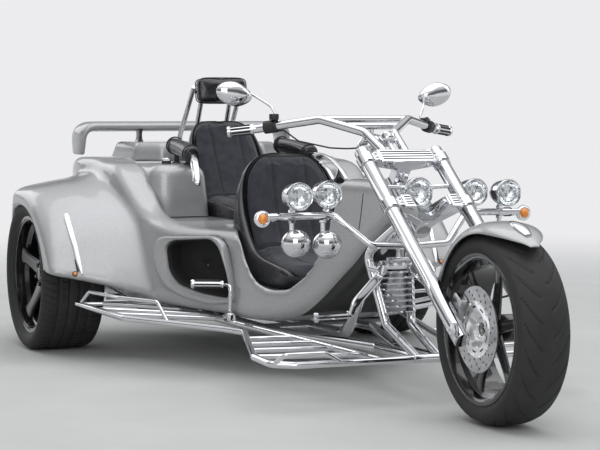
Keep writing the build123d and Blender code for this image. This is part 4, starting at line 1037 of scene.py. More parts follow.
makeClamp("top_clamp", "top", "top_clamp")
makeClamp("lower_clamp_web", "lower", "lower_clamp")
stem = [lathe([(0.0, 0.0), (0.0, 0.0158), (0.2036, 0.0158), (0.2036, 0)],
    onFork(0.0884, -0.1, 0), downFork, 40)]
build("steering_stem", stem, 35, "steel", "steering")
head = [lathe([(0.0012, 0.0165), (0.0012, 0.0255), (0.004, 0.0268), (0.199, 0.0268), (0.202, 0.0255),
    (0.202, 0.0165)], onFork(0.0884, -0.1, 0), downFork, 48, closed=True)]
for step in range(6):
    head.append(lathe([(0, 0.0262), (0.002, 0.0284), (0.01, 0.0284), (0.012, 0.0262)],
        onFork(0.112 + 0.028 * step, -0.1, 0), downFork, 48))
build("head_tube_rings", head[1:], 35, "chrome", "chassis")

# caps on the fork's tops, ridges where the legs slide, flat ends with their pinch bolts
legShape = {"radius": 0.027, "top": -0.004, "end": 0.984, "y": 0.145}
forkBits = []
for sign in (-1, 1):
    radius, top, end = legShape["radius"], legShape["top"], legShape["end"]
    profile = [(top, 0), (top, 0.012), (top + 0.004, 0.0165), (top + 0.007, 0.017), (top + 0.008, 0.0225),
        (top + 0.012, radius - 0.0008), (top + 0.016, radius), (0.7, radius), (0.702, radius + 0.0012),
        (end - 0.0035, radius + 0.0012), (end - 0.001, radius), (end, radius - 0.003), (end, 0)]
    forkBits.append(lathe(profile, onFork(0, 0, sign * legShape["y"]), downFork, 64))
build("fork_tubes", forkBits, 35, "chrome", "steering", stands=["fork_legs"])
pinch = []
for sign in (-1, 1):
    for down in (0.925, 0.962):
        pinch.append(lathe(stud(0.0062, 0.005, 0.0065, 0.0048),
            onFork(down, -0.0265, sign * legShape["y"]), -aheadFork, 20))
build("pinch_bolts", pinch, 35, "steel", "steering")
axleBits = []
for sign in (-1, 1):
    spot = at(frontAxle) + leftward * sign * 0.165
    axleBits.append(lathe([(0, 0), (0, 0.021), (0.01, 0.021), (0.016, 0.016), (0.017, 0.007),
        (0.014, 0.006), (0.014, 0)], spot, (0, sign, 0), 6))
    axleBits.append(lathe([(0, 0.0255), (0.003, 0.0255), (0.003, 0.01), (0, 0.01)], spot,
        (0, sign, 0), 40, closed=True))
build("axle_nuts", axleBits, 35, "chrome", "steering")
print("stage: fork")

# lamps, signals and mirrors

lampShapes = {
    # middle of the lens's rim, its radius, and the depth of the lamp behind it
    "head": [dict(place=(1.959, 0, 0.731), radius=0.052, depth=0.068)],
    "spots": [dict(place=(x, s * y, z), radius=0.0475, depth=0.112)
        for x, y, z in ((1.862, 0.412, 0.719), (1.836, 0.29, 0.723)) for s in (-1, 1)],
}


def lampShell(place, radius, depth):
    # a deep bowl with a rolled bezel, turned about the lamp's axis
    turnProfile = [(-depth, 0), (-depth + 0.001, radius * 0.22), (-depth * 0.93, radius * 0.5),
        (-depth * 0.8, radius * 0.74), (-depth * 0.6, radius * 0.89), (-depth * 0.4, radius * 0.955),
        (-0.02, radius * 0.975), (-0.0185, radius * 1.035), (-0.012, radius * 1.055),
        (-0.003, radius * 1.05), (0.0, radius * 1.02), (-0.001, radius * 0.955),
        (-0.006, radius * 0.935), (-0.012, radius * 0.93)]
    bowl = [(-0.012, radius * 0.93), (-0.022, radius * 0.86), (-0.034, radius * 0.66),
        (-0.041, radius * 0.36), (-0.044, 0.006), (-0.044, 0)]
    return lathe(turnProfile, at(place), (1, 0, 0), 72), lathe(bowl, at(place), (1, 0, 0), 72)


def lampInside(place):
    # bulb with its cap in front of the reflector
    return lathe([(-0.044, 0), (-0.043, 0.01), (-0.034, 0.0105), (-0.03, 0.0085), (-0.018, 0.0085),
        (-0.012, 0.006), (-0.01, 0)], at(place), (1, 0, 0), 24)


def lampGlass(place, radius):
    domed = [(0.0045, 0.0), (0.004, radius * 0.3), (0.0022, radius * 0.6), (-0.001, radius * 0.86),
        (-0.0035, radius * 0.928), (-0.006, radius * 0.928), (-0.004, radius * 0.86),
        (-0.0008, radius * 0.6), (0.001, radius * 0.3), (0.0015, 0)]
    return lathe(domed, at(place), (1, 0, 0), 64)


for name, body, shellNode, lensNode in (("head", "steering", "head_lamp", "head_lens"),
        ("spots", "chassis", "spot_lamps", "spot_lenses")):
    shells, bowls, bulbs, glass = [], [], [], []
    for lamp in lampShapes[name]:
        shell, bowl = lampShell(**lamp)
        shells.append(shell)
        bowls.append(bowl)
        bulbs.append(lampInside(lamp["place"]))
        glass.append(lampGlass(lamp["place"], lamp["radius"]))
    if name == "head":
        for sign in (-1, 1):
            shells.append(tube(at([(1.931, sign * 0.04, 0.748),
                (1.945, sign * 0.121, 0.7523)]), 0.008, 0.01, 16))
    else:
        # posts with a nut at the foot carry each lamp over the bar
        for lamp, (barX, barZ) in zip(lampShapes[name],
                ((1.785, 0.647), (1.785, 0.647), (1.806, 0.649), (1.806, 0.649))):
            x, y, z = lamp["place"]
            shells.append(tube(at([(barX, y, barZ + 0.0133), (barX, y, z - 0.036)]), 0.008, 0.01, 16))
            shells.append(lathe(stud(0.013, 0.009, 0.011, 0.011),
                at((barX, y, barZ + 0.0133)), (0, 0, 1), 6))
            shells.append(lathe(sleeve(-0.007, 0.007, 0.0136, 0.0172), at((barX, y, barZ)),
                (0, 1, 0), 40, closed=True))
    build(shellNode + "_shell", shells, 35, "chrome", body, stands=[shellNode])
    build(shellNode + "_bowl", bowls, 60, "reflector", body)
    build(shellNode + "_bulb", bulbs, 60, "brightTrim", body)
    build(lensNode + "_glass", glass, 60, "glass", body, stands=[lensNode])

signals, cups, bulbs, sleeves, domes, domeRims = [], [], [], [], [], []
for sign in (-1, 1):
    spot = at((1.772, sign * 0.5195, 0.64))
    # an amber bulb inside a bright rim looks forward from a chrome cup, on a short stem from the bar's end
    bulbs.append(lathe([(0.002, 0), (0.002, 0.0185), (0.011, 0.0182), (0.0175, 0.015), (0.0225, 0.008),
        (0.024, 0)], spot, (1, 0, 0), 48))
    signals.append(lathe([(0.001, 0.0183), (0.001, 0.0262), (0.006, 0.0262), (0.0095, 0.024),
        (0.0105, 0.0186)], spot, (1, 0, 0), 56, closed=True))
    cups.append(lathe([(0.006, 0.0262), (0.006, 0.0292), (0.002, 0.0298), (-0.004, 0.0288), (-0.014, 0.023),
        (-0.022, 0.014), (-0.026, 0.005), (-0.0265, 0), (-0.02, 0), (-0.016, 0.012), (-0.006, 0.0225),
        (0.003, 0.0262)], spot, (1, 0, 0), 56))
    cups.append(tube(at([(1.769, sign * 0.484, 0.6455), (1.77, sign * 0.503, 0.6425)]), 0.0105, 0.01, 24))
    cups.append(lathe(sleeve(0, 0.01, 0.013, 0.0165), at((1.769, sign * 0.47, 0.645)),
        (0, sign, 0), 6, closed=True))
    sleeves.append(lathe([(0, 0.012), (0, 0.0158), (0.002, 0.0168), (0.026, 0.0168), (0.028, 0.0158),
        (0.028, 0.012)], at((1.772, sign * 0.438, 0.6455)), (0, sign, 0), 40, closed=True))
    for (x, y, z), barX in (((1.822, 0.412, 0.5545), 1.785), ((1.842, 0.302, 0.549), 1.806)):
        # each lower lamp is a bright ball with a seam round it, hung from the bar
        ball = 0.0515
        turn = np.linspace(0, np.pi, 40)
        profile = np.stack([-np.cos(turn) * ball * 0.94, np.sin(turn)**0.92 * ball], axis=1)
        profile[[0, -1], 1] = 0
        axis = (0.5, 0, -0.866)
        domes.append(lathe(profile, at((x, sign * y, z)), axis, 72))
        domeRims.append(lathe([(-0.0022, ball * 0.985), (-0.0022, ball + 0.0012), (0.0022, ball + 0.0012),
            (0.0022, ball * 0.985)], at((x, sign * y, z)), axis, 72, closed=True))
        cups.append(tube(at([(barX, sign * y, 0.6335), (barX, sign * y, z + 0.04)]), 0.0082, 0.01, 20))
        cups.append(lathe(stud(0.0135, 0.008, 0.01, 0.011), at((barX, sign * y, 0.6335)), (0, 0, -1), 6))
build("signal_rims", signals, 60, "reflector", "chassis")
build("signal_lenses", bulbs, 60, "amber", "chassis", stands=["turn_signals"])
build("signal_cups", cups, 40, "chrome", "chassis")
build("bar_sleeves", sleeves, 40, "rubber", "chassis")
build("lower_domes", domes, 60, "chrome", "chassis", stands=["lower_domes"])
build("dome_seams", domeRims, 40, "steel", "chassis")

mirrorShape = {"centre": (1.24, 0.4185, 1.079), "half": (0.072, 0.0465), "depth": 0.03}


def makeMirror(name, sign):
    # a teardrop outline, wide outside and drawn in towards the stem, domed forward, with a glass behind
    x, y, z = mirrorShape["centre"]
    a, b = mirrorShape["half"]
    turn = (np.arange(64) * 2 * np.pi / 64)[None, :]
    along, high = np.cos(turn), np.sin(turn)
    taper = 1 - 0.3 * np.clip(-along, 0, 1)**1.5
    out = np.linspace(0, 1, 22)[:, None]
    shell = np.sin(out * np.pi / 2)
    front = mirrorShape["depth"] * np.cos(out * np.pi / 2)
    grid = np.stack([x + front * np.ones_like(turn), sign * (y + a * along * shell),
        z + b * high * taper * shell + 0.01 * along * shell], axis=2)
    back = np.stack([x - 0.004 * np.ones_like(turn), sign * (y + a * 0.97 * along),
        z + b * 0.97 * high * taper + 0.01 * along], axis=2)
    rimmed = np.concatenate([grid, back], axis=0)
    build(name, [gridSurface(at(rimmed), closeColumns=True)], 50, "chrome", "steering")
    # the glass lies in the back
    disc = np.concatenate([np.stack([(x - 0.0045) * np.ones_like(turn), sign * (y + a * r * along),
        z + b * r * high * taper + 0.01 * along * r], axis=2) for r in (0.001, 0.5, 0.93)], axis=0)
    return gridSurface(at(disc), closeColumns=True)


glasses = [makeMirror("mirror_" + sideName, sign) for sideName, sign in (("right", -1), ("left", 1))]
glassPiece = joined("mirror_glasses", glasses, 0)
thickened(glassPiece, 0.0015, 0)
dress(glassPiece, "chrome", "steering")
stems = []
for sign in (-1, 1):
    run = [(1.3772, 0.3008, 0.9738), (1.366, 0.2945, 0.9925), (1.352, 0.316, 1.034), (1.262, 0.362, 1.082)]
    stems.append(tube([at((x, sign * y, z)) for x, y, z in run], 0.0052, 0.016, 16, rounded=0.004))
    stems.append(lathe([(0, 0.0052), (0, 0.0095), (0.014, 0.0095), (0.016, 0.0075), (0.016, 0.0052)],
        at((1.3772, sign * 0.3008, 0.9738)), (-0.5, -sign * 0.3, 0.8), 24, closed=True))
build("mirror_stems", stems, 40, "chrome", "steering", stands=["mirrors"])
print("stage: lamps")

# seats: shells lofted along the seat's side line, cloth cushions blown up by the cloth solver

seatShapes = {
    # x, z of the sitting line, half width, bolster height, bolster width and thickness behind it,
    # from the top down the back and out along the cushion
    "driver": [(0.7, 0.8445, 0.012, 0.0, 0.006, 0.004), (0.7015, 0.8438, 0.045, 0.0, 0.007, 0.008),
        (0.704, 0.8405, 0.078, 0.001, 0.008, 0.012), (0.708, 0.833, 0.108, 0.002, 0.009, 0.016),
        (0.712, 0.821, 0.133, 0.003, 0.01, 0.02), (0.717, 0.8, 0.158, 0.005, 0.012, 0.025),
        (0.724, 0.77, 0.182, 0.008, 0.015, 0.03), (0.733, 0.735, 0.201, 0.013, 0.02, 0.034),
        (0.746, 0.685, 0.221, 0.024, 0.03, 0.04), (0.765, 0.62, 0.238, 0.044, 0.042, 0.048),
        (0.792, 0.55, 0.248, 0.066, 0.054, 0.058), (0.838, 0.474, 0.252, 0.078, 0.062, 0.064),
        (0.915, 0.42, 0.252, 0.07, 0.064, 0.066), (1.02, 0.396, 0.25, 0.056, 0.062, 0.062),
        (1.13, 0.39, 0.245, 0.044, 0.058, 0.058), (1.21, 0.392, 0.238, 0.03, 0.05, 0.054),
        (1.255, 0.391, 0.228, 0.016, 0.04, 0.046), (1.278, 0.385, 0.214, 0.004, 0.03, 0.034),
        (1.287, 0.378, 0.196, -0.004, 0.022, 0.02)],
    "rider": [(-0.046, 0.9685, 0.02, 0.0, 0.008, 0.004), (-0.043, 0.967, 0.068, 0.001, 0.01, 0.01),
        (-0.038, 0.96, 0.1, 0.002, 0.012, 0.014), (-0.028, 0.944, 0.126, 0.004, 0.014, 0.018),
        (-0.012, 0.916, 0.147, 0.007, 0.017, 0.022), (0.012, 0.872, 0.163, 0.012, 0.02, 0.026),
        (0.045, 0.812, 0.174, 0.018, 0.024, 0.03), (0.085, 0.745, 0.182, 0.024, 0.028, 0.034),
        (0.125, 0.68, 0.187, 0.03, 0.03, 0.038), (0.175, 0.628, 0.189, 0.034, 0.032, 0.04),
        (0.26, 0.612, 0.189, 0.03, 0.032, 0.036), (0.38, 0.606, 0.189, 0.024, 0.03, 0.034),
        (0.5, 0.602, 0.187, 0.018, 0.028, 0.03), (0.57, 0.6, 0.182, 0.01, 0.026, 0.026),
        (0.6, 0.596, 0.174, 0.002, 0.022, 0.018)],
}


def seatLine(table, count):
    # the table resampled evenly along its side line, with the sitter's side direction of each place
    table = np.array(table)
    length = runLengths(table[:, :2])
    rows = smoothRows(np.column_stack([length, table]), 400)
    # closer stations where the outline turns at the top
    even = length[-1] * np.linspace(0, 1, count)**1.25
    rows = resampled(even, rows[:, 0], rows)
    slope = np.gradient(rows[:, 1:3], even, axis=0)
    slope /= np.linalg.norm(slope, axis=1, keepdims=True)
    toSitter = np.stack([-slope[:, 1], 0 * even, slope[:, 0]], axis=1)
    spine = np.stack([rows[:, 1], 0 * even, rows[:, 2]], axis=1)
    return spine, toSitter, rows[:, 3:].T


def seatShell(name, key, stands, outerLook):
    # closed sections: flat behind, raised rounded bolsters at both sides, a shallow bed between them
    spine, toSitter, (half, rise, wide, thick) = seatLine(seatShapes[key], 110)
    zero = np.zeros_like(half)
    points = [(-half * 0.86, -thick), (half * 0.86, -thick), (half, -thick * 0.45),
        (half - wide * 0.06, rise * 0.75), (half - wide * 0.38, rise + 0.004),
        (half - wide * 0.8, rise * 0.72), (half - wide, zero), (zero, zero - 0.004), (-half + wide, zero),
        (-half + wide * 0.8, rise * 0.72), (-half + wide * 0.38, rise + 0.004),
        (-half + wide * 0.06, rise * 0.75), (-half, -thick * 0.45)]
    corners = np.stack([np.stack(pair, axis=1) for pair in points], axis=1)
    outline = softCorners(corners, 0.024, 6, 2)
    grid = spine[:, None, :] + outline[..., :1] * leftward + outline[..., 1:] * toSitter[:, None, :]
    piece = joined(name, [capped(at(grid))], 0)
    softened(piece, 4)
    finishModifiers(piece)
    return dress(piece, outerLook, stands=stands)


def swollen(piece, cap, frames=20, voxel=0.006):
    # the pad is skinned, blown up a little by the cloth solver, and each point's travel is capped
    remeshed(piece, voxel, 2)
    before = meshPoints(piece)
    cloth = piece.modifiers.new("air", "CLOTH")
    cloth.settings.use_pressure = True
    cloth.settings.uniform_pressure_force = 4
    cloth.settings.effector_weights.gravity = 0
    cloth.settings.quality = 5
    for frame in range(1, frames + 1):
        scene.frame_set(frame)
    finishModifiers(piece)
    move = meshPoints(piece) - before
    size = np.linalg.norm(move, axis=1, keepdims=True)
    movePoints(piece, before + move * np.minimum(1, cap / np.maximum(size, 1e-9)))
    scene.frame_set(1)
    return piece


def pressed(piece, press):
    # every point is pushed by press(points): the sewn channels come after the swelling
    points = meshPoints(piece)
    movePoints(piece, points + press(points))


def seatPad(name, key, stands, inset, height, seams, crease, travel=0.009):
    # a cushion in the shell's bed: crowned between the seams, thin along its edges
    spine, toSitter, measures = seatLine(seatShapes[key], 110)
    # the first stations are left to the shell's rolled top
    spine, toSitter = spine[4:], toSitter[4:]
    half, wide = measures[[0, 2], 4:]
    reach = np.maximum(half - wide - inset, 0.02)
    share = np.linspace(0, 1, len(half))
    ends = np.clip(np.minimum(share, 1 - share) / 0.05, 0, 1)
    tall = height * np.sqrt(np.clip(1 - (1 - ends)**2, 0.04, 1))
    zero = np.zeros_like(half)
    points = [(-reach * 0.96, zero - 0.001), (reach * 0.96, zero - 0.001), (reach, tall * 0.45),
        (reach * 0.94, tall * 0.92), (reach * 0.5, tall * 1.05), (zero, tall * 1.08),
        (-reach * 0.5, tall * 1.05), (-reach * 0.94, tall * 0.92), (-reach, tall * 0.45)]
    corners = np.stack([np.stack(pair, axis=1) for pair in points], axis=1)
    outline = softCorners(corners, 0.014, 5, 3)
    grid = spine[:, None, :] + outline[..., :1] * leftward + outline[..., 1:] * toSitter[:, None, :]
    piece = swollen(joined(name, [capped(at(grid))], 0), travel)
    places = at(spine)
    foldAt = ((places[:, [0, 2]] - at((crease[0], 0, crease[1]))[[0, 2]])**2).sum(axis=1).argmin()

    def press(points):
        # down the two seams and across the fold, toward the shell
        gap = ((points[:, None, [0, 2]] - places[None, :, [0, 2]])**2).sum(axis=2)
        near = gap.argmin(axis=1)
        outward = toSitter[near]
        above = ((points - places[near]) * outward).sum(axis=1)
        depth = sum(np.exp(-((np.abs(points[:, 1]) - seam) / 0.0055)**2) for seam in seams)
        fold = np.exp(-((share[near] - share[foldAt]) / 0.01)**2)
        onFront = np.clip(above / 0.015, 0, 1)
        return -outward * (np.maximum(depth * 0.0075, fold * 0.012) * onFront)[:, None]

    pressed(piece, press)
    rounder(piece)
    dress(piece, "cloth", stands=stands)
    # a line of stitches beside each seam
    stitches = []
    for seam in seams:
        for sign in (-1, 1):
            for beside in (-0.0055, 0.0055):
                steps = np.linspace(0.07, 0.93, 74)
                i = np.interp(steps, share, np.arange(len(share)))
                low = np.floor(i).astype(int)
                high = np.minimum(low + 1, len(places) - 1)
                base = places[low] + (places[high] - places[low]) * (i - low)[:, None]
                up = toSitter[low]
                width = np.interp(steps, share, reach)
                ok = width > seam + 0.012
                stitches.append((base[ok], up[ok], sign * (seam + beside)))
    return piece, stitches


def surfaceThreads(name, piece, stitches, look):
    # short threads laid on the cushion where a line from outside meets it
    target = piece.evaluated_get(bpy.context.evaluated_depsgraph_get())
    pieces = []
    for base, up, across in stitches:
        for start, direction in zip(base, up):
            origin = start + leftward * across + direction * 0.12
            hit, place, normal = target.ray_cast(Vector(origin), Vector(-direction), distance=0.2)[:3]
            if not hit:
                continue
            place, normal = np.array(place), np.array(normal)
            along = np.cross(normal, leftward)
            along /= np.linalg.norm(along) + 1e-9
            reach, foot = along * 0.0032, normal * 0.0001
            thread = np.array([place - reach + foot, place + normal * 0.0008, place + reach + foot])
            pieces.append(sweep(thread, circleSection(0.00065, 5)))
    if pieces:
        build(name, pieces, 0, look)


seatShell("driver_seat_shell", "driver", ["driver_seat_shell"], "vinyl")
driverPad, driverStitches = seatPad("driver_seat_pad", "driver", ["driver_seat_pad"], 0.002,
    0.028, (0.072,), (0.862, 0.45))
seatShell("passenger_seat_shell", "rider", ["passenger_seat_shell"], "vinyl")
riderPad, riderStitches = seatPad("passenger_seat_pad", "rider", ["passenger_seat_pad"], 0.002,
    0.024, (0.065,), (0.19, 0.622))
surfaceThreads("driver_seat_threads", driverPad, driverStitches, "blackPlastic")
surfaceThreads("passenger_seat_threads", riderPad, riderStitches, "blackPlastic")

# the rider's shell stands on a plinth down to the floor, with a drawn-in lower edge
plinthShape = {"outline": [(0.06, -0.186), (0.606, -0.186), (0.606, 0.186), (0.06, 0.186)],
    "levels": ((0.5706, 0.002), (0.573, 0.0), (0.588, 0.0), (0.6, 0.004))}
rings = []
for z, inset in plinthShape["levels"]:
    ring = softCorners(plinthShape["outline"], 0.02 + inset, 6, 4)
    rings.append(np.insert(ring, 2, z, axis=1))
build("seat_plinth", [capped(at(rings))], 40, "vinyl")
print("stage: seats")

headrestShape = {"centre": (-0.02, 0, 1.104), "half": (0.111, 0.053), "deep": 0.027, "lean": 0.1}


def makeHeadrest():
    # a padded block: superelliptic outline, crowned front, piping round both edges
    x, y, z = headrestShape["centre"]
    wide, tall = headrestShape["half"]
    deep, lean = headrestShape["deep"], headrestShape["lean"]
    a, b = superRing(64, 6)
    rings = []
    for depth, size in ((-1, 0.03), (-1, 0.5), (-1.0, 0.9), (-0.88, 0.97), (-0.6, 1.0), (0.6, 1.0),
            (0.88, 0.975), (1.03, 0.9), (1.12, 0.5), (1.15, 0.03)):
        flat = np.stack([np.full(64, depth * deep), a * wide * size, b * tall * size], axis=1)
        flat[:, 0], flat[:, 2] = flat[:, 0] - flat[:, 2] * lean, flat[:, 2] + flat[:, 0] * lean
        rings.append(flat + [x, y, z])
    piece = swollen(joined("headrest_pad", [capped(at(rings))], 0), 0.005, voxel=0.005)
    rounder(piece)
    dress(piece, "vinyl", stands=["headrest_pad"])
    a, b = superRing(96, 6)
    piping = []
    for depth in (-0.72, 0.72):
        path = np.stack([np.full(96, depth * deep), a * (wide + 0.0012), b * (tall + 0.0012)], axis=1)
        path[:, 0], path[:, 2] = path[:, 0] - path[:, 2] * lean, path[:, 2] + path[:, 0] * lean
        piping.append(sweep(at(path + [x, y, z]), circleSection(0.0026, 8), closed=True))
    build("headrest_piping", piping, 0, "vinyl")


makeHeadrest()

armShape = {"rear": (0.058, 0.2485, 0.864), "front": (0.362, 0.272, 0.828)}
handleShape = {
    # x, z of the plate's edge and of its opening, corner by corner, and of the dark patch in its foot,
    # painted shade for a hole there
    "outline": [(0.338, 0.834), (0.364, 0.84), (0.43, 0.835), (0.5, 0.815), (0.557, 0.776), (0.594, 0.735),
        (0.596, 0.712), (0.532, 0.703), (0.508, 0.706), (0.476, 0.745), (0.455, 0.772), (0.425, 0.786),
        (0.372, 0.806), (0.342, 0.815)],
    "opening": [(0.424, 0.806), (0.432, 0.814), (0.45, 0.819), (0.49, 0.812), (0.526, 0.795),
        (0.545, 0.776), (0.537, 0.752), (0.524, 0.73), (0.512, 0.727), (0.494, 0.748), (0.478, 0.767),
        (0.458, 0.78), (0.436, 0.789), (0.424, 0.797)],
    "holeShade": [(0.534, 0.708), (0.537, 0.726), (0.55, 0.735), (0.572, 0.736), (0.588, 0.73),
        (0.592, 0.716), (0.566, 0.709)],
    "foot": (0.352, 0.271),
    "lean": (0.25, -0.968, 0),
    "thick": 0.0115,
}
rolls, collars, handles, holes, posts = [], [], [], [], []
for sign in (-1, 1):
    rear, front = (np.array(armShape[key]) * [1, sign, 1] for key in ("rear", "front"))
    along = np.linspace(0, 1, 26)[:, None]
    sag = np.sin(along * np.pi) * [0, 0, 0.006]
    rolls.append(loftRings(at(rear + (front - rear) * along + sag),
        np.stack([0.033 + 0.004 * along[:, 0]**2, 0.031 + 0.005 * along[:, 0]**2], 1),
        power=2.3, count=40, ends=0.014))
    step = (front - rear) / np.linalg.norm(front - rear)
    for place in (0.04, 0.9):
        spot = rear + (front - rear) * place
        collars.append(lathe([(0, 0.034), (0, 0.0385), (0.004, 0.0395), (0.01, 0.0385), (0.01, 0.034)],
            at(spot + [0, 0, 0.003]), step, 48, closed=True))
    # the grab handle: a flat curved plate with a long opening, on a plane that leans out as it goes forward
    outline = softCorners(handleShape["outline"], 0.03, 8, 6)
    opening = softCorners(handleShape["opening"], 0.03, 8, 6)
    rows = []
    for share, depth in ((0.0, -0.55), (0.0, 0.55), (0.1, 0.86), (0.3, 1.0), (0.7, 1.0), (0.9, 0.86),
            (1.0, 0.55), (1.0, -0.55), (0.9, -0.86), (0.7, -1.0), (0.3, -1.0), (0.1, -0.86)):
        flat = outline + (opening - outline) * share
        lean = np.array(handleShape["lean"]) * [1, sign, 1]
        y = sign * (handleShape["foot"][1] + (flat[:, 0] - handleShape["foot"][0]) * 0.2586)
        rows.append(np.stack([flat[:, 0], y, flat[:, 1]], axis=1) + lean * depth * handleShape["thick"])
    handles.append(gridSurface(at(rows), closeRows=True, closeColumns=True))
    # the dark patch on the foot is painted shade standing for a hole's inside
    holeShade = softCorners(handleShape["holeShade"], 0.012, 6, 4)
    rings = []
    for size, depth in ((0.3, 0.9), (0.9, 0.92), (1.0, 1.0), (0.98, 1.12), (0.9, 1.16), (0.3, 1.17)):
        flat = holeShade.mean(axis=0) + (holeShade - holeShade.mean(axis=0)) * size
        y = sign * (handleShape["foot"][1] + (flat[:, 0] - handleShape["foot"][0]) * 0.2586)
        rings.append(np.stack([flat[:, 0], y, flat[:, 1]], axis=1) + lean * depth * handleShape["thick"])
    holes.append(capped(at(rings)))
    for x, y in ((0.11, 0.253), (0.305, 0.268)):
        posts.append(tube(at([(x, sign * y, 0.7909), (x, sign * y, 0.836)]), 0.011, 0.01, 20))
        posts.append(lathe([(0, 0.011), (0, 0.019), (0.004, 0.019), (0.006, 0.015), (0.006, 0.011)],
            at((x, sign * y, 0.7909)), (0, 0, 1), 32, closed=True))
armRolls = build("arm_rolls", rolls, 40, "vinyl", stands=["armrests"])
build("arm_collars", collars, 40, "rubber")
build("arm_posts", posts, 40, "blackPlastic")
build("grab_handles", handles, 40, "chrome", stands=["grab_handles"])
build("handle_hole_shade", holes, 60, "shadeAndJoints")
print("stage: armrests")

# rear cover, boxes and wing

coverShape = {"outline": [(-0.545, -0.352), (-0.2, -0.352), (-0.105, -0.248), (-0.105, 0.248),
    (-0.2, 0.352), (-0.545, 0.352)], "foot": 0.7954, "rise": 0.0795, "crown": 0.004}


def taperedBlock(outline, heights, insets, cut, crown=0.0, arc=8):
    # the outline shrinks by each inset at each height; crown lifts the middle of the lid
    outline = np.array(outline, float)
    before = outline - np.roll(outline, 1, axis=0)
    after = np.roll(outline, -1, axis=0) - outline
    before /= np.linalg.norm(before, axis=1, keepdims=True)
    after /= np.linalg.norm(after, axis=1, keepdims=True)
    area = np.sum(outline[:, 0] * np.roll(outline[:, 1], -1) - np.roll(outline[:, 0], -1) * outline[:, 1])
    turn = 1 if area > 0 else -1
    inward = turn * (np.stack([-before[:, 1], before[:, 0]], 1) + np.stack([-after[:, 1], after[:, 0]], 1))
    inward /= (1 + (before * after).sum(axis=1))[:, None]
    rings = []
    for z, inset in zip(heights, insets):
        ring = softCorners(outline + inward * inset, cut, arc, 5)
        rings.append(np.insert(ring, 2, z, axis=1))
    last = rings[-1]
    middle = last.mean(axis=0)
    for shrink in (0.93, 0.8, 0.6, 0.35, 0.12):
        ring = middle + (last - middle) * shrink
        ring[:, 2] += crown * (1 - shrink**2)
        rings.append(ring)
    return capped(at(rings))


foot, rise = coverShape["foot"], coverShape["rise"]
cover = taperedBlock(coverShape["outline"], foot + rise * np.array([0, 0.03, 0.7, 0.84, 0.94, 0.985, 1.0]),
    [0.001, 0.0, 0.0155, 0.02, 0.027, 0.035, 0.045],
    [0.03, 0.016, 0.016, 0.016, 0.016, 0.03], coverShape["crown"])
build("rear_cover", [cover], 50, "paint", stands=["rear_cover"])
gasket = softCorners(coverShape["outline"], 0.03, 8, 5)
gasketPath = at(np.insert(gasket, 2, foot + 0.0004, axis=1))
build("cover_seal", [sweep(gasketPath, circleSection(0.0024, 8), closed=True)], 0, "rubber")

boxShape = {"outline": [(-0.05, 0.196), (0.372, 0.196), (0.384, 0.396), (0.338, 0.462), (-0.05, 0.466)],
    "foot": 0.5706, "top": 0.7896}
for sideName, sign in (("right", -1), ("left", 1)):
    outline = np.array(boxShape["outline"]) * [1, sign]
    low, high = boxShape["foot"], boxShape["top"]
    heights = [low, low + 0.004, low + 0.1, high - 0.052, high - 0.03, high - 0.014, high - 0.004, high]
    insets = [0.002, 0.0, 0.007, 0.013, 0.018, 0.028, 0.042, 0.056]
    block = taperedBlock(outline, heights, insets, [0.025, 0.03, 0.03, 0.03, 0.03], 0.001)
    build("side_box_" + sideName, [block], 50, "paint", stands=["side_box_" + sideName])
    ring = softCorners(outline, [0.025, 0.03, 0.03, 0.03, 0.03], 8, 5)
    build("box_groove_" + sideName, [sweep(at(np.insert(ring, 2, low + 0.0012, axis=1)),
        circleSection(0.0022, 8), closed=True)], 0, "rubber")

capPlace = at((0.172, -0.322, 0.7895))
build("cap_collar", [lathe(stud(0.02, 0.01, 0.012, 0.0185), capPlace, (0, 0, 1), 48)], 40, "rubber")
capBits = [lathe([(0.011, 0), (0.011, 0.0175), (0.013, 0.019), (0.022, 0.019), (0.0245, 0.017),
    (0.025, 0.012), (0.024, 0)], capPlace, (0, 0, 1), 12)]
build("filler_cap", capBits, 25, "chrome", stands=["filler_cap"])

wingShape = {"x": -0.53, "half": 0.5, "top": 0.943, "tip": 0.815, "bend": 0.075,
    "chord": 0.09, "thick": 0.0235}


def makeWing():
    # a flat blade right across, its ends turned down and drawn in to rounded tips
    shape = wingShape
    spine = curvePath([(shape["x"], -shape["half"], shape["tip"]),
        (shape["x"], -shape["half"], shape["top"]), (shape["x"], shape["half"], shape["top"]),
        (shape["x"], shape["half"], shape["tip"])], shape["bend"], 0.004)
    length = runLengths(spine)
    even = np.linspace(0, length[-1], 220)
    spine = resampled(even, length, spine)
    down = np.clip((shape["top"] - spine[:, 2]) / (shape["top"] - shape["tip"]), 0, 1)
    chord = shape["chord"] * (1 - 0.3 * down**1.5)
    thick = shape["thick"] * (1 - 0.25 * down)
    spine[:, 0] -= 0.012 * down
    surface = loftRings(at(spine), np.stack([chord, thick], 1), side=(1, 0, 0),
        power=2.6, count=56, ends=0.012)
    build("rear_wing", [surface], 0, "paint", stands=["rear_wing"])


makeWing()
pylons = []
for sign in (-1, 1):
    path = at([(-0.48, sign * 0.23, z) for z in (0.8765, 0.885, 0.905, 0.918, 0.9275)])
    pylons.append(loftRings(path, np.stack([np.array([0.046, 0.036, 0.034, 0.036, 0.044]),
        np.array([0.014, 0.01, 0.009, 0.01, 0.013])], 1), side=(1, 0, 0), power=2.2, count=36))
build("wing_pylons", pylons, 40, "alloy", stands=["wing_pylons"])
print("stage: covers and wing")

# trims on the body: scoop rims and pockets, arch bands, fender strips and markers

rims, pockets = [], []


def scoopRing(side, step, rows):
    # the hole's corners move outward to the lip's at each share, with a depth for each row
    hole, lip = (np.array(bodyShape[key], float) for key in ("hole", "lip"))
    return np.array([onFlank(softCorners(step(hole, lip, share), 0.032, 8, 5), depth,
        side) for share, depth in rows])


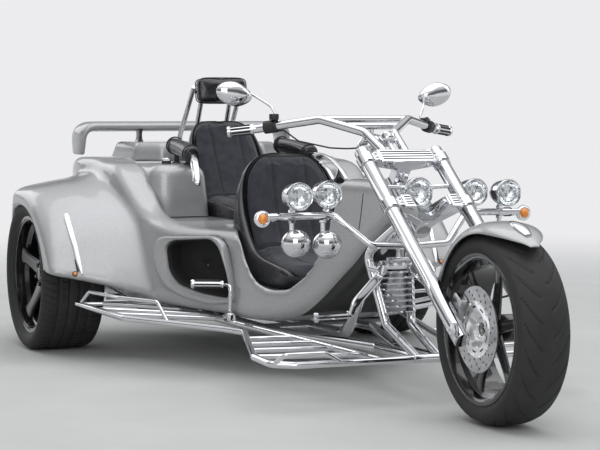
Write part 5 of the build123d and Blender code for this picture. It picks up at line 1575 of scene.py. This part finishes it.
for side in (-1, 1):
    ring = scoopRing(side, lambda hole, lip, share: hole + (lip - hole) * share,
        ((-0.05, 0.04), (0.0, 0.01), (0.1, -0.001), (0.3, -0.004), (0.55, -0.006), (0.8, -0.0065),
        (0.93, -0.0045), (1.0, 0.0), (1.01, 0.02), (0.5, 0.04)))
    rims.append(gridSurface(ring, closeRows=True, closeColumns=True))
    # the pocket inside each scoop is painted shade: a near-black lining where the hole's inside falls dark
    deep = scoopRing(side, lambda hole, lip, share: hole.mean(axis=0) + (hole - hole.mean(axis=0)) * share,
        ((0.985, 0.006), (0.975, 0.03), (0.95, 0.075), (0.86, 0.0795), (0.5, 0.08), (0.05, 0.08)))
    pockets.append(gridSurface(deep, closeColumns=True))
build("scoop_rims", rims, 40, "paint")
pocketPiece = joined("scoop_pocket_shade", pockets, 40)
thickened(pocketPiece, 0.003, -1)
dress(pocketPiece, "shadeAndJoints")

archShape = {"centre": (0.005, 0.213), "radius": 0.405, "from": 22, "to": 158}
bands = []
for side in (-1, 1):
    angle = np.radians(np.linspace(archShape["from"], archShape["to"], 90))
    x0, z0 = archShape["centre"]
    radius = archShape["radius"]
    rows = []
    # a flat band that slopes from the arch's edge out to the fender's rim
    for out, y in ((-0.001, 0.89), (-0.0025, 0.905), (0.002, 0.9215), (0.01, 0.9255), (0.018, 0.924),
            (0.01, 0.905), (0.004, 0.89)):
        rows.append(np.stack([x0 + (radius + out) * np.cos(angle), np.full(90, side * y),
            z0 + (radius + out) * np.sin(angle)], axis=1))
    rows = np.array(rows).transpose(1, 0, 2)
    rows[:, :, 1] -= side * bodyShape["drawIn"]["rate"] * np.maximum(bodyShape["drawIn"]["from"] - rows[:,
        :, 0], 0)
    bands.append(capped(at(rows)))
build("arch_bands", bands, 50, "paint")


def ontoBody(points, direction):
    # each point slides along a direction onto the body's skin, whose mean normal there comes with it
    found, normals = [], []
    skin = bodySkin.evaluated_get(bpy.context.evaluated_depsgraph_get())
    for point in points:
        hit, place, normal = skin.ray_cast(Vector(point + direction * 0.3),
            Vector(-direction), distance=0.8)[:3]
        found.append(np.array(place) if hit else point)
        normals.append(np.array(normal) if hit else direction)
    mean = np.mean(normals, axis=0)
    return np.array(found), mean / np.linalg.norm(mean)


strips, markers, markerRims, wedges, slotLines = [], [], [], [], []
for side in (-1, 1):
    outward = np.array([0.76, side * 0.65, 0.0])
    path = np.array([(0.33, side * 0.811, 0.593), (0.397, side * 0.813, 0.531),
        (0.443, side * 0.809, 0.469), (0.476, side * 0.802, 0.406), (0.507, side * 0.796, 0.353)])
    path, lift = ontoBody(at(curvePath(path, 0.02, 0.01)), outward)
    path = smoothRows(path, 48)
    share = np.linspace(0, 1, len(path))
    wide = np.interp(share, [0, 0.1, 0.25, 0.85, 1], [0.008, 0.0125, 0.012, 0.0105, 0.005])
    strips.append(loftRings(path + lift * 0.0025, np.stack([wide, np.full(len(path), 0.0055)], 1), up=lift,
        power=2.4, count=28, ends=0.004))
    across = np.cross(path[-1] - path[0], lift)
    across *= -np.sign(across[0]) / np.linalg.norm(across)
    wedges.append(loftRings(path[-10:-2] + lift * 0.002 + across * 0.0125,
        np.stack([np.linspace(0.001, 0.0045, 8), np.full(8, 0.003)], 1), up=lift, power=3, count=16))
    spot, lift = ontoBody(at([(0.499, side * 0.824, 0.359)]), outward)
    spot = spot[0]
    markers.append(lathe([(0, 0), (0, 0.008), (0.004, 0.008), (0.008, 0.0055),
        (0.0095, 0)], spot, lift, 28))
    markerRims.append(lathe([(-0.002, 0.008), (-0.002, 0.0115), (0.003, 0.011), (0.0045, 0.008)],
        spot, lift, 28, closed=True))
    # a narrow dark joint runs down each side of the nose
    joint = curvePath([(1.63, side * 0.066, 0.716), (1.621, side * 0.07, 0.64),
        (1.61, side * 0.073, 0.58)], 0.02, 0.008)
    joint, lift = ontoBody(at(joint), np.array([0.6, side * 0.8, 0.0]))
    slotLines.append(loftRings(joint, (0.002, 0.0014), up=lift, power=2.4, count=12, ends=0.001))
build("nose_joints", slotLines, 50, "shadeAndJoints")
build("strip_wedges", wedges, 50, "blackPlastic")
build("fender_strips", strips, 50, "brightTrim")
build("fender_markers", markers, 50, "amber")
build("marker_rims", markerRims, 50, "blackPlastic")
print("stage: trims")

# bars, grips, pods and pegs

barRun = [(1.627, 0.059, 0.938), (1.495, 0.18, 0.985), (1.336, 0.364, 0.95), (1.284, 0.458, 0.938)]
gripBits, ringBits, housings = [], [], []
for sign in (-1, 1):
    knee, tip = (np.array(point) * [1, sign, 1] for point in barRun[-2:])
    step = tip - knee
    length = np.linalg.norm(step)
    step = step / length
    start = knee + step * length * 0.12
    reach = length * 0.92
    gripBits.append(lathe([(0, 0.0162), (0, 0.0205), (0.003, 0.0215), (0.01, 0.0215), (0.012, 0.0178),
        (reach - 0.014, 0.0178), (reach - 0.012, 0.0212), (reach - 0.003, 0.0212), (reach, 0.019),
        (reach + 0.001, 0.0)], at(start), step, 48))
    gripSide = np.cross(step, [0, 0, 1.0])
    gripSide /= np.linalg.norm(gripSide)
    gripUp = np.cross(gripSide, step)
    for k in range(8):
        # rubber strips let in along the bright barrel
        turn = 2 * np.pi * (k + 0.5) / 8
        out = gripSide * math.cos(turn) + gripUp * math.sin(turn)
        path = at([start + step * (0.013 + (reach - 0.028) * share) + out * 0.0178
            for share in np.linspace(0, 1, 8)])
        ringBits.append(loftRings(path, (0.0042, 0.0027), up=out, power=3, count=16, ends=0.0018))
    bend = np.array(barRun[1]) * [1, sign, 1]
    toKnee = (knee - bend) / np.linalg.norm(knee - bend)
    housing = bend + (knee - bend) * 0.72
    housings.append(lathe([(0, 0.0164), (0, 0.0225), (0.002, 0.024), (0.038, 0.024), (0.04, 0.0225),
        (0.04, 0.0164)], at(housing), toKnee, 44, closed=True))
build("grips", gripBits, 35, "chrome", "steering", stands=["grips"])
build("grip_strips", ringBits, 40, "rubber", "steering")
# the left housing carries switches, the right one the brake reservoir
blockBits, reservoir = [], []
left = np.array((1.379, 0.312, 0.959))
right = np.array((1.379, -0.312, 0.959))
blockBits.append(loftRings(at([left + [-0.012, 0.01, 0.016], left + [0.01, -0.016, 0.018]]), (0.016, 0.013),
    power=5, count=28, ends=0.004))
for k in (0, 1):
    blockBits.append(lathe(stud(0.0042, 0.004, 0.005, 0.003),
        at(left + [-0.01 * k, 0.002 + 0.01 * k, 0.0285]), (0, 0, 1), 16))
build("switch_block", blockBits, 40, "blackPlastic", "steering")
reservoir.append(lathe([(0, 0), (0, 0.017), (0.004, 0.0182), (0.02, 0.0182), (0.0225, 0.0165), (0.023, 0)],
    at(right + [0.004, -0.004, 0.0235]), (0, 0, 1), 36))
reservoir.append(lathe(sleeve(0, 0.01, 0.0165, 0.0235), at(right), (0.65, 0.76, 0.15), 36, closed=True))
housings += reservoir
build("hand_controls", housings, 35, "blackPlastic", "steering", stands=["hand_controls"])

podShape = {"place": (1.56, 0, 0.88), "axis": (-0.82, 0, 0.57), "radius": 0.052}
podAxis = np.array(podShape["axis"]) / np.linalg.norm(podShape["axis"])
podPlace = at(podShape["place"])
radius = podShape["radius"]
turnCap = np.linspace(0, np.pi / 2, 14)
dome = np.stack([-0.04 * np.cos(turnCap), radius * np.sin(turnCap)], axis=1).tolist()
podBits = [lathe(dome + [(0.004, radius), (0.006, radius + 0.0022), (0.014, radius + 0.0022),
    (0.016, radius + 0.0008), (0.016, radius - 0.004), (0.0115, radius - 0.008)], podPlace, podAxis, 80),
    tube(at([(1.56, 0, 0.9), (1.56, 0, 0.9477)]), 0.009, 0.01, 24)]
build("gauge_pod", podBits, 40, "chrome", "steering", stands=["gauge_pod"])
face = [lathe([(0.01, 0), (0.01, radius - 0.0065), (0.0118, radius - 0.0065),
    (0.0118, 0)], podPlace, podAxis, 64)]
build("gauge_face", face, 40, "blackPlastic", "steering")
podUp = np.cross(podAxis, leftward)
marks = []
for step in range(25):
    angle = np.radians(-130 + 260 * step / 24)
    ray = leftward * np.sin(angle) - podUp * np.cos(angle)
    inner = 0.034 if step % 4 == 0 else 0.038
    base = podPlace + podAxis * 0.0121
    marks.append(loftRings([base + ray * inner, base + ray * 0.042], (0.0008, 0.0003),
        up=podAxis, power=4, count=8))
pointer = np.radians(-118)
ray = leftward * np.sin(pointer) - podUp * np.cos(pointer)
pivot = podPlace + podAxis * 0.0128
marks.append(loftRings([pivot - ray * 0.006, pivot + ray * 0.034], [(0.0016, 0.0005), (0.0005, 0.0004)],
    up=podAxis, power=3, count=8))
marks.append(lathe([(0.0118, 0), (0.0118, 0.005), (0.0145, 0.0045), (0.015, 0)], podPlace, podAxis, 24))
build("gauge_marks", marks, 40, "plate", "steering")
clockPlace, clockAxis = at((1.7, 0, 0.912)), np.array([-0.7, 0, 0.72]) / math.hypot(0.7, 0.72)
clockBits = [lathe([(-0.018, 0), (-0.0175, 0.016), (-0.012, 0.025), (-0.004, 0.0298), (0.01, 0.03),
    (0.0125, 0.0318), (0.015, 0.0308), (0.015, 0.027), (0.0105, 0.0255)], clockPlace, clockAxis, 56),
    tube([onFork(0.0417, -0.023), onFork(-0.072, -0.023)], 0.009, 0.01, 24)]
build("riser_clock", clockBits, 40, "chrome", "steering", stands=["riser_clock"])
clockUp = np.cross(clockAxis, leftward)
clockFace = [lathe(sleeve(0.009, 0.0108, 0, 0.0262), clockPlace, clockAxis, 48)]
build("clock_face", clockFace, 40, "plate", "steering")
ticks = []
for step in range(12):
    ray = leftward * np.sin(np.radians(30 * step)) - clockUp * np.cos(np.radians(30 * step))
    base = clockPlace + clockAxis * 0.0111
    ticks.append(loftRings([base + ray * 0.0195, base + ray * 0.0235], (0.0006, 0.0003),
        up=clockAxis, power=4, count=8))
for angle, reach in ((-50, 0.014), (60, 0.019)):
    ray = leftward * np.sin(np.radians(angle)) - clockUp * np.cos(np.radians(angle))
    base = clockPlace + clockAxis * 0.0115
    ticks.append(loftRings([base - ray * 0.003, base + ray * reach], (0.0007, 0.0003),
        up=clockAxis, power=4, count=8))
build("clock_marks", ticks, 40, "blackPlastic", "steering")

pegShape = {"radius": 0.016, "strips": 7}
pegBits, pegStrips, pegClamps, armBits = [], [], [], []


def footPeg(inner, outer):
    # a chrome barrel between two collars, with rubber strips let in along it
    inner, outer = np.array(inner), np.array(outer)
    step = outer - inner
    length = np.linalg.norm(step)
    step /= length
    r = pegShape["radius"]
    pegBits.append(lathe([(0, 0), (0, r * 0.8), (0.003, r * 1.12), (0.01, r * 1.12), (0.012, r * 0.95),
        (length - 0.014, r * 0.95), (length - 0.012, r * 1.14), (length - 0.004, r * 1.14),
        (length, r * 0.92), (length + 0.001, 0)], at(inner), step, 56))
    side = np.cross(step, [0, 0, 1.0])
    side /= np.linalg.norm(side)
    up = np.cross(side, step)
    for k in range(pegShape["strips"]):
        turn = 2 * np.pi * (k + 0.5) / pegShape["strips"]
        out = side * math.cos(turn) + up * math.sin(turn)
        path = at([inner + step * (0.014 + (length - 0.029) * share) + out * r * 0.985
            for share in np.linspace(0, 1, 8)])
        pegStrips.append(loftRings(path, (0.0036, 0.0024), up=out, power=3, count=16, ends=0.0018))


for sign in (-1, 1):
    footPeg((1.046, sign * 0.388, 0.3475), (1.0, sign * 0.508, 0.349))
    pegBits.append(tube(at([(1.089, sign * 0.38, 0.222), (1.104, sign * 0.382, 0.345),
        (1.046, sign * 0.389, 0.3475)]), 0.0088, 0.034, 24))
    pegClamps.append(loftRings(at([(1.089, sign * 0.38, 0.208), (1.089, sign * 0.38, 0.24)]),
        (0.015, 0.015), power=4, count=32, ends=0.004))
    pegClamps.append(loftRings(at([(1.04, sign * 0.377, 0.2166), (1.11, sign * 0.377, 0.2206)]),
        (0.0165, 0.0135), power=3.5, count=32, ends=0.004))
    footPeg((1.797, sign * 0.193, 0.29), (1.792, sign * 0.33, 0.287))
    # a broad flat arm carries the front peg from a pivot block on the frame
    blade = curvePath([(1.758, sign * 0.06, 0.448), (1.797, sign * 0.078, 0.428),
        (1.806, sign * 0.176, 0.334), (1.798, sign * 0.19, 0.286)], 0.035, 0.006)
    share = np.linspace(0, 1, len(blade))
    wide = np.interp(share, [0, 0.2, 0.75, 1.0], [0.016, 0.0175, 0.0165, 0.0125])
    armBits.append(loftRings(at(blade), np.stack([np.full(len(blade), 0.0062), wide], 1),
        side=(0.97, 0, 0.24), power=3.6, count=36, ends=0.005))
    armBits.append(lathe([(0, 0), (0, 0.017), (0.003, 0.0195), (0.016, 0.0195), (0.019, 0.017), (0.019, 0)],
        at((1.776, sign * 0.064, 0.444)), (0.97, 0, 0.24), 36))
    armBits.append(tube(at([(1.7228, sign * 0.082, 0.45), (1.768, sign * 0.064, 0.445)]), 0.0125, 0.01, 24))
armBits.append(loftRings(at([(1.752, -0.052, 0.462), (1.752, 0.052, 0.462)]), (0.017, 0.021),
    power=5, count=32, ends=0.004))
armBits.append(tube(at([(1.776, -0.04, 0.484), (1.776, 0.045, 0.484)]), 0.0085, 0.01, 20, rounded=0.003))
for y in (-0.05, -0.02, 0.014, 0.044):
    armBits.append(lathe(stud(0.011, 0.007, 0.009, 0.009), at((1.766, y, 0.466)), (0.95, 0, 0.3), 6))
build("foot_pegs", pegBits, 40, "chrome", stands=["foot_pegs"])
build("peg_strips", pegStrips, 40, "rubber")
build("peg_clamps", pegClamps, 40, "chrome")
build("foot_controls", armBits, 40, "chrome", stands=["foot_controls"])
print("stage: bars and pegs")

# camera, lights and floor

view = {"place": (7.0002, -3.0487, 1.0246), "yaw": 157.18, "pitch": -3.395, "lens": 117.7}
cameraData = bpy.data.cameras.new("camera")
camera = bpy.data.objects.new("camera", cameraData)
scene.collection.objects.link(camera)
yaw, pitch = math.radians(view["yaw"]), math.radians(view["pitch"])
camera.location = view["place"]
camera.rotation_mode = "QUATERNION"
camera.rotation_quaternion = Vector((math.cos(yaw) * math.cos(pitch), math.sin(yaw) * math.cos(pitch),
    math.sin(pitch))).to_track_quat("-Z", "Y")
cameraData.sensor_width = 36
cameraData.lens = view["lens"]
cameraData.clip_end = 200
scene.camera = camera
scene.view_settings.view_transform = "Standard"

lamps = {
    "sky": dict(place=(0.5, 0.5, 7.0), aim=(0, 0, 0.3), size=9.0, power=330, colour=(0.98, 0.99, 1.0)),
    "front": dict(place=(9.6, -4.6, 4.6), aim=(0, 0, 0.4), size=6.5, power=300,
        colour=(1.0, 0.995, 0.985)),
    "left": dict(place=(1.0, 8.0, 4.5), aim=(0, 0, 0.4), size=5.0, power=90, colour=(0.97, 0.98, 1.0)),
    "rear": dict(place=(-8.0, -3.0, 4.5), aim=(0, 0, 0.4), size=5.0, power=120, colour=(0.98, 0.99, 1.0)),
}
for name, lamp in lamps.items():
    data = bpy.data.lights.new(name, "AREA")
    data.shape = "SQUARE"
    data.size = lamp["size"]
    data.energy = lamp["power"]
    data.color = lamp["colour"]
    light = bpy.data.objects.new(name, data)
    light.location = lamp["place"]
    light.rotation_mode = "QUATERNION"
    light.rotation_quaternion = (Vector(lamp["aim"]) - Vector(lamp["place"])).to_track_quat("-Z", "Y")
    scene.collection.objects.link(light)

# the backdrop that the eye, metal and glass see: pale along the horizon, a dim band over it, pale overhead
world = bpy.data.worlds.new("studio")
scene.world = world
world.use_nodes = True
tree = world.node_tree
tree.nodes.clear()
outward = addNode(tree, "ShaderNodeOutputWorld")
lightPath = addNode(tree, "ShaderNodeLightPath")
where = addNode(tree, "ShaderNodeTexCoord")
height = addNode(tree, "ShaderNodeSeparateXYZ")
tree.links.new(where.outputs["Generated"], height.inputs[0])
band = addNode(tree, "ShaderNodeValToRGB")
band.color_ramp.elements[0].position = 0.0
band.color_ramp.elements[0].color = (0.6, 0.6, 0.6, 1)
band.color_ramp.elements[1].position = 1.0
band.color_ramp.elements[1].color = (0.92, 0.94, 0.97, 1)
for position, colour in ((0.45, 0.84), (0.535, 0.84), (0.585, 0.16), (0.68, 0.13),
        (0.76, 0.62), (0.86, 0.86)):
    mark = band.color_ramp.elements.new(position)
    mark.color = (colour, colour, colour * 1.02, 1)
scaled = addNode(tree, "ShaderNodeMath", operation="MULTIPLY_ADD")
scaled.inputs[1].default_value = 0.5
scaled.inputs[2].default_value = 0.5
tree.links.new(height.outputs["Z"], scaled.inputs[0])
tree.links.new(scaled.outputs[0], band.inputs["Fac"])
seen = addNode(tree, "ShaderNodeBackground", Strength=1.0)
tree.links.new(band.outputs["Color"], seen.inputs["Color"])
lit = addNode(tree, "ShaderNodeBackground", Color=(0.84, 0.87, 0.9, 1), Strength=0.42)
eyeOrMetal = addNode(tree, "ShaderNodeMath", operation="MAXIMUM")
tree.links.new(lightPath.outputs["Is Camera Ray"], eyeOrMetal.inputs[0])
tree.links.new(lightPath.outputs["Is Glossy Ray"], eyeOrMetal.inputs[1])
orGlass = addNode(tree, "ShaderNodeMath", operation="MAXIMUM")
tree.links.new(eyeOrMetal.outputs[0], orGlass.inputs[0])
tree.links.new(lightPath.outputs["Is Transmission Ray"], orGlass.inputs[1])
both = addNode(tree, "ShaderNodeMixShader")
tree.links.new(orGlass.outputs[0], both.inputs[0])
tree.links.new(lit.outputs[0], both.inputs[1])
tree.links.new(seen.outputs[0], both.inputs[2])
tree.links.new(both.outputs[0], outward.inputs["Surface"])

# the floor thins out to the backdrop far from the trike
ground = joined("ground", [gridSurface(np.stack(np.meshgrid(np.linspace(-14, 14, 9),
    np.linspace(-14, 14, 9), indexing="ij") + [np.zeros((9, 9))], axis=2))], 0)
groundLook, tree, shader = newMaterial("paleFloor")
speck = noise(tree, 2.2, 8)
tone = ramp(tree, speck.outputs["Fac"], 0.35, 0.65, (0.6, 0.6, 0.59), (0.64, 0.64, 0.63))
tree.links.new(tone.outputs["Color"], shader.inputs["Base Color"])
shader.inputs["Roughness"].default_value = 0.85
spot = addNode(tree, "ShaderNodeTexCoord")
away = addNode(tree, "ShaderNodeVectorMath", operation="LENGTH")
tree.links.new(spot.outputs["Object"], away.inputs[0])
thin = addNode(tree, "ShaderNodeMapRange")
thin.interpolation_type = "SMOOTHSTEP"
thin.inputs["From Min"].default_value = 2.6
thin.inputs["From Max"].default_value = 9.0
tree.links.new(away.outputs["Value"], thin.inputs["Value"])
clear = addNode(tree, "ShaderNodeBsdfTransparent")
fade = addNode(tree, "ShaderNodeMixShader")
tree.links.new(thin.outputs["Result"], fade.inputs[0])
tree.links.new(shader.outputs[0], fade.inputs[1])
tree.links.new(clear.outputs[0], fade.inputs[2])
tree.links.new(fade.outputs[0], tree.nodes["Material Output"].inputs["Surface"])
ground.data.materials.append(groundLook)
if ground.data.polygons[0].normal.z < 0:
    ground.data.flip_normals()
print("stage: camera and lights")

# finishes for the solids that stay as they are
slotLooks = {slot: look for look, slot in reversed(list(recordSlots.items()))}
for name, node in nodes.items():
    if node.hide_render:
        continue
    slot = next(row["material_slot"] for row in frame["record"]["subparts"] if row["node"] == name)
    look = slotLooks[slot]
    for spot in range(len(node.material_slots)):
        node.material_slots[spot].material = looks[look]
